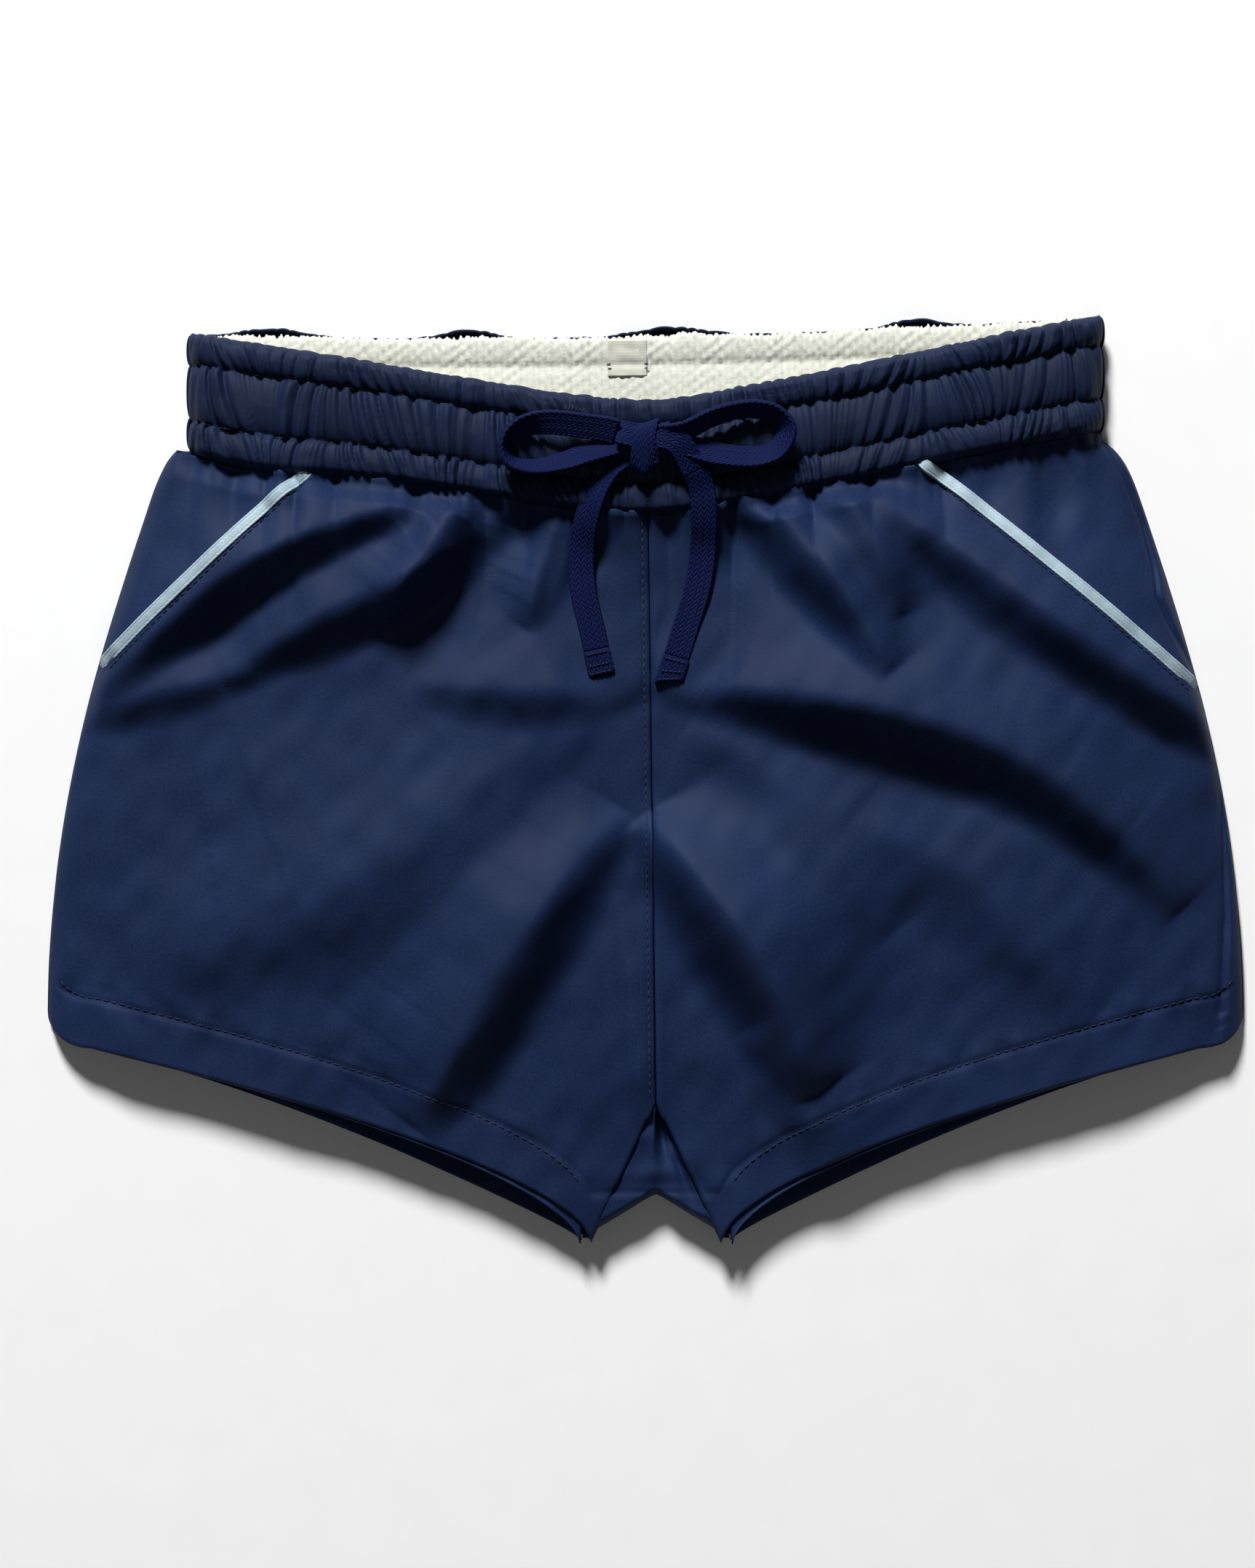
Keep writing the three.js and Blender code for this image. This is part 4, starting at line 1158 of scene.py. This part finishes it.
def buttonhole(side):
    """A ring of close satin stitches round the slot that the drawcord comes out of."""
    long, wide = HOLE_REACH
    turns = np.linspace(0, 2 * np.pi, 57)[:-1]
    centre_x = KNOT_X + side * HOLE_APART
    centre_y = KNOT_Y - KNOT_ABOVE_CHANNEL
    threads = []
    for a, b in zip(turns, turns + 0.03):
        ends = []
        for angle, reach in ((a, 0.86), (b, 1.16)):
            x = centre_x + reach * long * np.sign(np.cos(angle)) * np.abs(np.cos(angle)) ** 0.7
            y = centre_y + reach * wide * np.sign(np.sin(angle)) * np.abs(np.sin(angle)) ** 0.7
            v = (y - front_seam(x)) / BAND_DEPTH
            ends.append((x, y, float(casing_front(np.array(x), np.array(v))) + 0.0003))
        threads.append(stitch(*ends, radius=RING_THREAD))
    name = f"buttonhole_{SIDE_WORD[side]}"
    sew(f"{name}_stitches", threads, "hips", name)


band_pieces()
band_stitches()
label()
buttonhole(LEFT)
buttonhole(RIGHT)


# ---- Body ----

FRONT_GRID = (210, 170)
BACK_GRID = (130, 110)
HEM_TURN = 0.0014
HEM_WALL = 0.0005
BAG_WALL = 0.0003
SEAM_WALL = 0.0009  # two layers of cloth
CENTRE_SEAM_WALL = 0.0005
CENTRE_SEAM_HALF = 0.0042
SEAM_EDGES = (0.0052, 0.0012)  # distances of a side seam's allowance from the outer edge
INSEAM_EDGES = (0.001, 0.0042)  # the same from a leg's inner edge
BAG_INSET = 0.008
GUSSET_WALL = 0.0008
GUSSET_TUCK = 0.0016
PUCKERS = (  # depth, then the middle and half width across the gusset and up it, as shares
    (0.0050, 0.66, 0.16, 0.72, 0.3),
    (0.0022, 0.86, 0.07, 0.5, 0.3),
    (-0.0012, 0.45, 0.1, 0.6, 0.4),
)
LAYER_STEP = 0.0011  # from one layer of cloth to the next one in


def mouth_seam_x(side):
    """Distance from the middle line at which the pocket mouth meets the waist seam."""
    x = POCKET_TOP_X[side]
    for _ in range(30):
        x = float(mouth_x(side, front_seam(side * x)))
    return x


MOUTH_SEAM_X = {side: mouth_seam_x(side) for side in (LEFT, RIGHT)}


def inside(side, inset):
    """The line that keeps inset from a side's outer edge."""
    return lambda y: side * (half_width(y) - inset)


def seam_row(side, x_in, x_out, seam, lift=None):
    def row(u):
        x = side * mix(x_in, x_out, u)
        over = 0 * x if lift is None else lift(x)
        return x, seam(x) + over

    return row


def seam_overlap(x):
    """How far the body's gathers ride up over the band's lower edge."""
    return 0.0004 + 0.0016 * ruche(x, FINE_GATHER, 9) + 0.0008 * ruche(x, 0.017, 5)


def hem_row(side, drop=0, lift=0.0, inset=0.0):
    def row(u):
        x, y = hem_line(side, u, drop)
        return x + side * inset * (1 - 2 * u), y + lift

    return row


def front_cloth(side):
    word = SIDE_WORD[side]
    inner = lambda y: inner_x(side, y) + side * 0.0001
    outer = lambda y: side * mouth_x(side, y)
    top_in = float(side * inner_x(side, front_seam(0.0)))
    high = seam_row(side, top_in, MOUTH_SEAM_X[side], front_seam, seam_overlap)
    x, y = strip(hem_row(side), high, inner, outer, *FRONT_GRID)
    level = front_surface(side, x, y)
    above_hem = np.maximum(y - hem_height(side, x), 0)
    level = rounded(level, level - 0.0011, above_hem, HEM_TURN)
    from_mouth = mouth_x(side, y) - np.abs(x)
    at_mouth = (y > POCKET_END_Y[side]) * 1.0
    level = level - 0.0004 * at_mouth * bell(from_mouth, 0.0028, 0.0010)
    level = level - 0.0005 * at_mouth * np.exp(-from_mouth / 0.0006)
    grid = np.stack([x, y, level], axis=-1)
    piece = shell(f"front_cloth_{word}", grid, WALL)
    finish_piece(piece, BODY, "fold", f"front_panel_{word}", f"front_leg_{word}")


def back_cloth(side):
    word = SIDE_WORD[side]
    inner = lambda y: inner_x(side, y) + side * 0.0001
    outer = lambda y: side * half_width(y)
    top_in = float(side * inner_x(side, back_seam(0.0)))
    high = seam_row(side, top_in, WAIST_HALF, back_seam)
    x, y = strip(hem_row(side, BACK_HEM_DROP), high, inner, outer, *BACK_GRID)
    level = 0.0011 + 0.0003 * (1 + waves(x, y, 0.06, 41)) + 0.00012 * waves(x, y, 0.02, 42)
    below = np.maximum(back_seam(x) - y, 0)
    level = level + 0.0008 * ruche(x, 0.011, 43) * np.exp(-below / 0.02)
    above_hem = np.maximum(y - hem_height(side, x, BACK_HEM_DROP), 0)
    level = level - 0.0003 * bell(above_hem, HEM_DEPTH, 0.0015)
    level = rounded(level, level + 0.0008, above_hem, HEM_TURN)
    from_out, from_in = side_edges(side, x, y)
    level = rounded(level, SIDE_MEET - 0.0002, from_out, SIDE_ROUND)
    level = rounded(level, SIDE_MEET - 0.0002, from_in, SIDE_ROUND)
    grid = np.stack([x, y, np.maximum(level, WALL + 0.0001)], axis=-1)
    piece = shell(f"back_cloth_{word}", grid, WALL)
    finish_piece(piece, BODY, "fold", f"back_panel_{word}", f"back_leg_{word}")


def hem_layer(side, where):
    """The turned-up layer inside a leg, which starts at the fold along the hem."""
    word = SIDE_WORD[side]
    drop = 0 if where == "front" else BACK_HEM_DROP
    inset = 0.004
    u, v = np.meshgrid(spaced(170), spaced(22, 0.8), indexing="xy")
    x, y = hem_row(side, drop, 0.0, inset)(u)
    y = y + v * HEM_DEPTH
    above_hem = v * HEM_DEPTH
    if where == "front":
        level = front_surface(side, x, y) - LAYER_STEP - 0.0002
        level = rounded(level, level + 0.0005, above_hem, HEM_TURN)
    else:
        level = 0.0026 + 0.00035 * waves(x, y, 0.03, 44) + 0.0002 * waves(x, y, 0.009, 45)
        level = level - 0.0004 * bell(above_hem, HEM_ROW, 0.001)
        level = rounded(level, 0.0016, above_hem, HEM_TURN)
        from_out, from_in = side_edges(side, x, y)
        level = rounded(level, SIDE_MEET + 0.0006, np.minimum(from_out, from_in), SIDE_ROUND)
    layer(f"hem_{where}_{word}_layer", x, y, level, HEM_WALL, BODY, "legs", f"hem_{where}_{word}")


def pocket(side):
    """Facing, bag and piping of one slant pocket."""
    word = SIDE_WORD[side]
    top = lambda x_in, x_out: seam_row(side, x_in, x_out, front_seam, seam_overlap)
    facing_in = lambda y: side * (mouth_x(side, y) - FACING_UNDER)
    end_y = POCKET_END_Y[side]
    facing_low = end_y - FACING_UNDER / 2
    low = level_row(facing_low, facing_in, inside(side, 0))
    high = top(MOUTH_SEAM_X[side] - FACING_UNDER, WAIST_HALF)
    x, y = strip(low, high, facing_in, inside(side, 0), *FACING_GRID)
    outside = np.abs(x) - mouth_x(side, y)
    drop = mix(0.0019, 0.0006, smooth(0, 0.03, outside))
    drop = drop + 0.0012 * smooth(end_y + 0.012, end_y - 0.004, y)
    level = front_surface(side, x, y, round_sides=False) - drop
    wedge = 0.0028 * bell(np.abs(x), 0.158, 0.007) * bell(y, 0.109, 0.016)
    level = level - wedge + 0.0014 * bell(np.abs(x), 0.145, 0.006) * bell(y, 0.104, 0.016)
    level = rounded(level, SIDE_MEET, half_width(y) - np.abs(x), SIDE_ROUND)
    layer(f"pocket_facing_{word}_cloth", x, y, level, WALL, BODY, "fold", f"pocket_facing_{word}")

    bag_in = lambda y: side * (POCKET_TOP_X[side] - BAG_REACH) + 0 * y
    bag_low = FOLD_Y + BAG_ABOVE_FOLD
    near_mouth = lambda y: side * np.minimum(mouth_x(side, y) - 0.0044, half_width(y) - BAG_INSET)
    shapes = (("front", near_mouth, 0.0010), ("back", inside(side, BAG_INSET), 0.0042))
    for where, bag_out, drop in shapes:
        low = level_row(bag_low, bag_in, bag_out)
        top_out = float(side * bag_out(front_seam(side * MOUTH_SEAM_X[side])))
        high = seam_row(side, POCKET_TOP_X[side] - BAG_REACH, top_out, front_seam)
        x, y = strip(low, high, bag_in, bag_out, *BAG_GRID)
        name = f"pocket_bag_{where}_{word}"
        z = front_surface(side, x, y) - drop
        layer(f"{name}_cloth", x, y, z, BAG_WALL, POCKET, "fold", name)
    piping(side)


def piping(side):
    """A filled tape along the pocket mouth that curls in under the waistband's seam."""
    word = SIDE_WORD[side]
    seam_y = float(front_seam(side * MOUTH_SEAM_X[side]))
    y = np.linspace(seam_y + 0.0035, POCKET_END_Y[side] + 0.004, 26)
    curl = 0.0022 * np.exp(np.minimum(y - seam_y, 0) / 0.004)
    x = mouth_x(side, y) + 0.0012 - curl
    x = np.minimum(x, half_width(y) - 0.0022)
    z = front_surface(side, side * np.minimum(x, half_width(y) - 0.004), y) + 0.0002
    z -= 0.0022 * smooth(seam_y - 0.002, seam_y + 0.003, y)
    z[-2:] -= (0.0006, 0.0016)
    tape = flat_cord(np.stack([side * x, y, z], axis=1), width=PIPING_WIDTH,
                     thick=PIPING_THICKNESS, rolls=[(end, -side * PIPING_ROLL) for end in (0, 1)],
                     reshape=plain_tape)
    finish_piece(join(f"pocket_piping_{word}_tape", [tape]), PIPING, "hips", f"pocket_piping_{word}")


def plain_tape(grid, across, share):
    """The tape's section as it is: a smooth roll, narrower at both ends."""
    narrow = smooth(0, 0.05, share) * smooth(0, 0.03, 1 - share)
    middle = grid.mean(axis=1, keepdims=True)
    return middle + (grid - middle) * mix(0.45, 1, narrow)[:, :, None]


def side_seam(side):
    """Seam allowance inside the side, from the waistband to the hem's outer corner."""
    word = SIDE_WORD[side]
    low_y = BOTTOM + HEM_CORNER_RISE + 0.002
    high_y = float(back_seam(side * WAIST_HALF)) - 0.001
    edges = [inside(side, inset) for inset in SEAM_EDGES]
    x, y = straight_strip(low_y, high_y, *edges, 120, 8)
    z = SIDE_MEET + 0.0005 + 0.00015 * waves(x, y, 0.008, 51)
    layer(f"side_seam_{word}_allowance", x, y, z, SEAM_WALL, BODY, "fold",
          f"side_seam_{word}", f"side_seam_leg_{word}")


def inseam(side):
    """Seam allowance inside a leg, from the crotch to the hem."""
    word = SIDE_WORD[side]
    edges = [lambda y, inset=inset: inner_x(side, y) + side * inset for inset in INSEAM_EDGES]
    x, y = straight_strip(BOTTOM + 0.0012, CROTCH_Y - 0.012, *edges, 50, 6)
    z = SIDE_MEET + 0.0005 + 0.00015 * waves(x, y, 0.008, 52)
    layer(f"inseam_{word}_allowance", x, y, z, SEAM_WALL, BODY, "legs", f"inseam_{word}")


def centre_seam(where):
    """Seam allowance down the middle, from the waistband to the crotch."""
    high_y = float(front_seam(0.0) if where == "front" else back_seam(0.0)) - 0.001
    edges = [lambda y, half=half: inner_x(0, y) + half for half in (-CENTRE_SEAM_HALF, CENTRE_SEAM_HALF)]
    x, y = straight_strip(CROTCH_Y + 0.001, high_y, *edges, 160, 10)
    z = front_surface(LEFT, x, y, False) - 0.0022 if where == "front" else 0.0023 + 0 * x
    layer(f"centre_{where}_seam_allowance", x, y, z, CENTRE_SEAM_WALL, BODY, "fold",
          f"centre_{where}_seam", f"centre_{where}_seam_leg")


def gusset():
    """The cloth that closes the crotch between the two inseams."""
    high_y, low_y = CROTCH_Y + 0.001, CROTCH_Y - 0.035
    v, u = np.meshgrid(spaced(60, 0.8), np.linspace(0, 1, 50), indexing="ij")
    y = mix(low_y - 0.0145 * np.abs(2 * u - 1) ** 1.3, high_y, v)
    x = mix(inner_x(LEFT, y) - GUSSET_TUCK, inner_x(RIGHT, y) + GUSSET_TUCK, u)
    left = front_surface(LEFT, inner_x(LEFT, y) + LEFT * 0.004, y)
    right = front_surface(RIGHT, inner_x(RIGHT, y) + RIGHT * 0.004, y)
    z = mix(left, right, smooth(0.3, 0.75, u)) - 0.0011
    for depth, across, half_across, up, half_up in PUCKERS:
        z = z - depth * bell(u, across, half_across) * bell(v, up, half_up)
    z = z + 0.0003 * waves(x, y, 0.011, 55)
    z = rounded(z, 0.0026, 0.037 * v, 0.004)
    layer("crotch_gusset_cloth", x, y, z, GUSSET_WALL, BODY, "legs", "crotch_gusset")


def on_front(side, x, y):
    """Points just above the front's cloth, for stitches."""
    return np.stack([x, y, front_surface(side, x, y) + ABOVE_CLOTH], axis=-1)


def body_stitches(side):
    """The hem's row all round one leg, and the row beside the pocket mouth."""
    word = SIDE_WORD[side]
    u = np.linspace(0.01, 0.985, 160)
    x, y = hem_row(side, 0.0, HEM_ROW, 0.003)(u)
    rows = stitch_row(on_front(side, x, y))
    x, y = hem_row(side, BACK_HEM_DROP, HEM_ROW, 0.004)(u)
    rows += stitch_row(np.stack([x, y, 0.0006 + 0 * x], axis=-1))
    sew(f"hem_stitching_{word}", rows, "legs")
    seam_y = float(front_seam(side * MOUTH_SEAM_X[side]))
    y = np.linspace(seam_y - 0.003, POCKET_END_Y[side] + 0.002, 60)
    x = side * (mouth_x(side, y) - MOUTH_ROW)
    sew(f"mouth_stitching_{word}", stitch_row(on_front(side, x, y)), "hips")


def middle_stitches():
    """The row beside the centre front seam, down to the crotch."""
    y = np.linspace(float(front_seam(0.0)) - 0.002, CROTCH_Y + 0.004, 120)
    rows = stitch_row(on_front(LEFT, inner_x(0, y) - SEAM_ROW, y))
    sew("centre_front_stitching", rows, "fold")


for side in (LEFT, RIGHT):
    front_cloth(side)
    body_stitches(side)
    back_cloth(side)
    hem_layer(side, "front")
    hem_layer(side, "back")
    pocket(side)
    side_seam(side)
    inseam(side)
centre_seam("front")
centre_seam("back")
middle_stitches()
gusset()
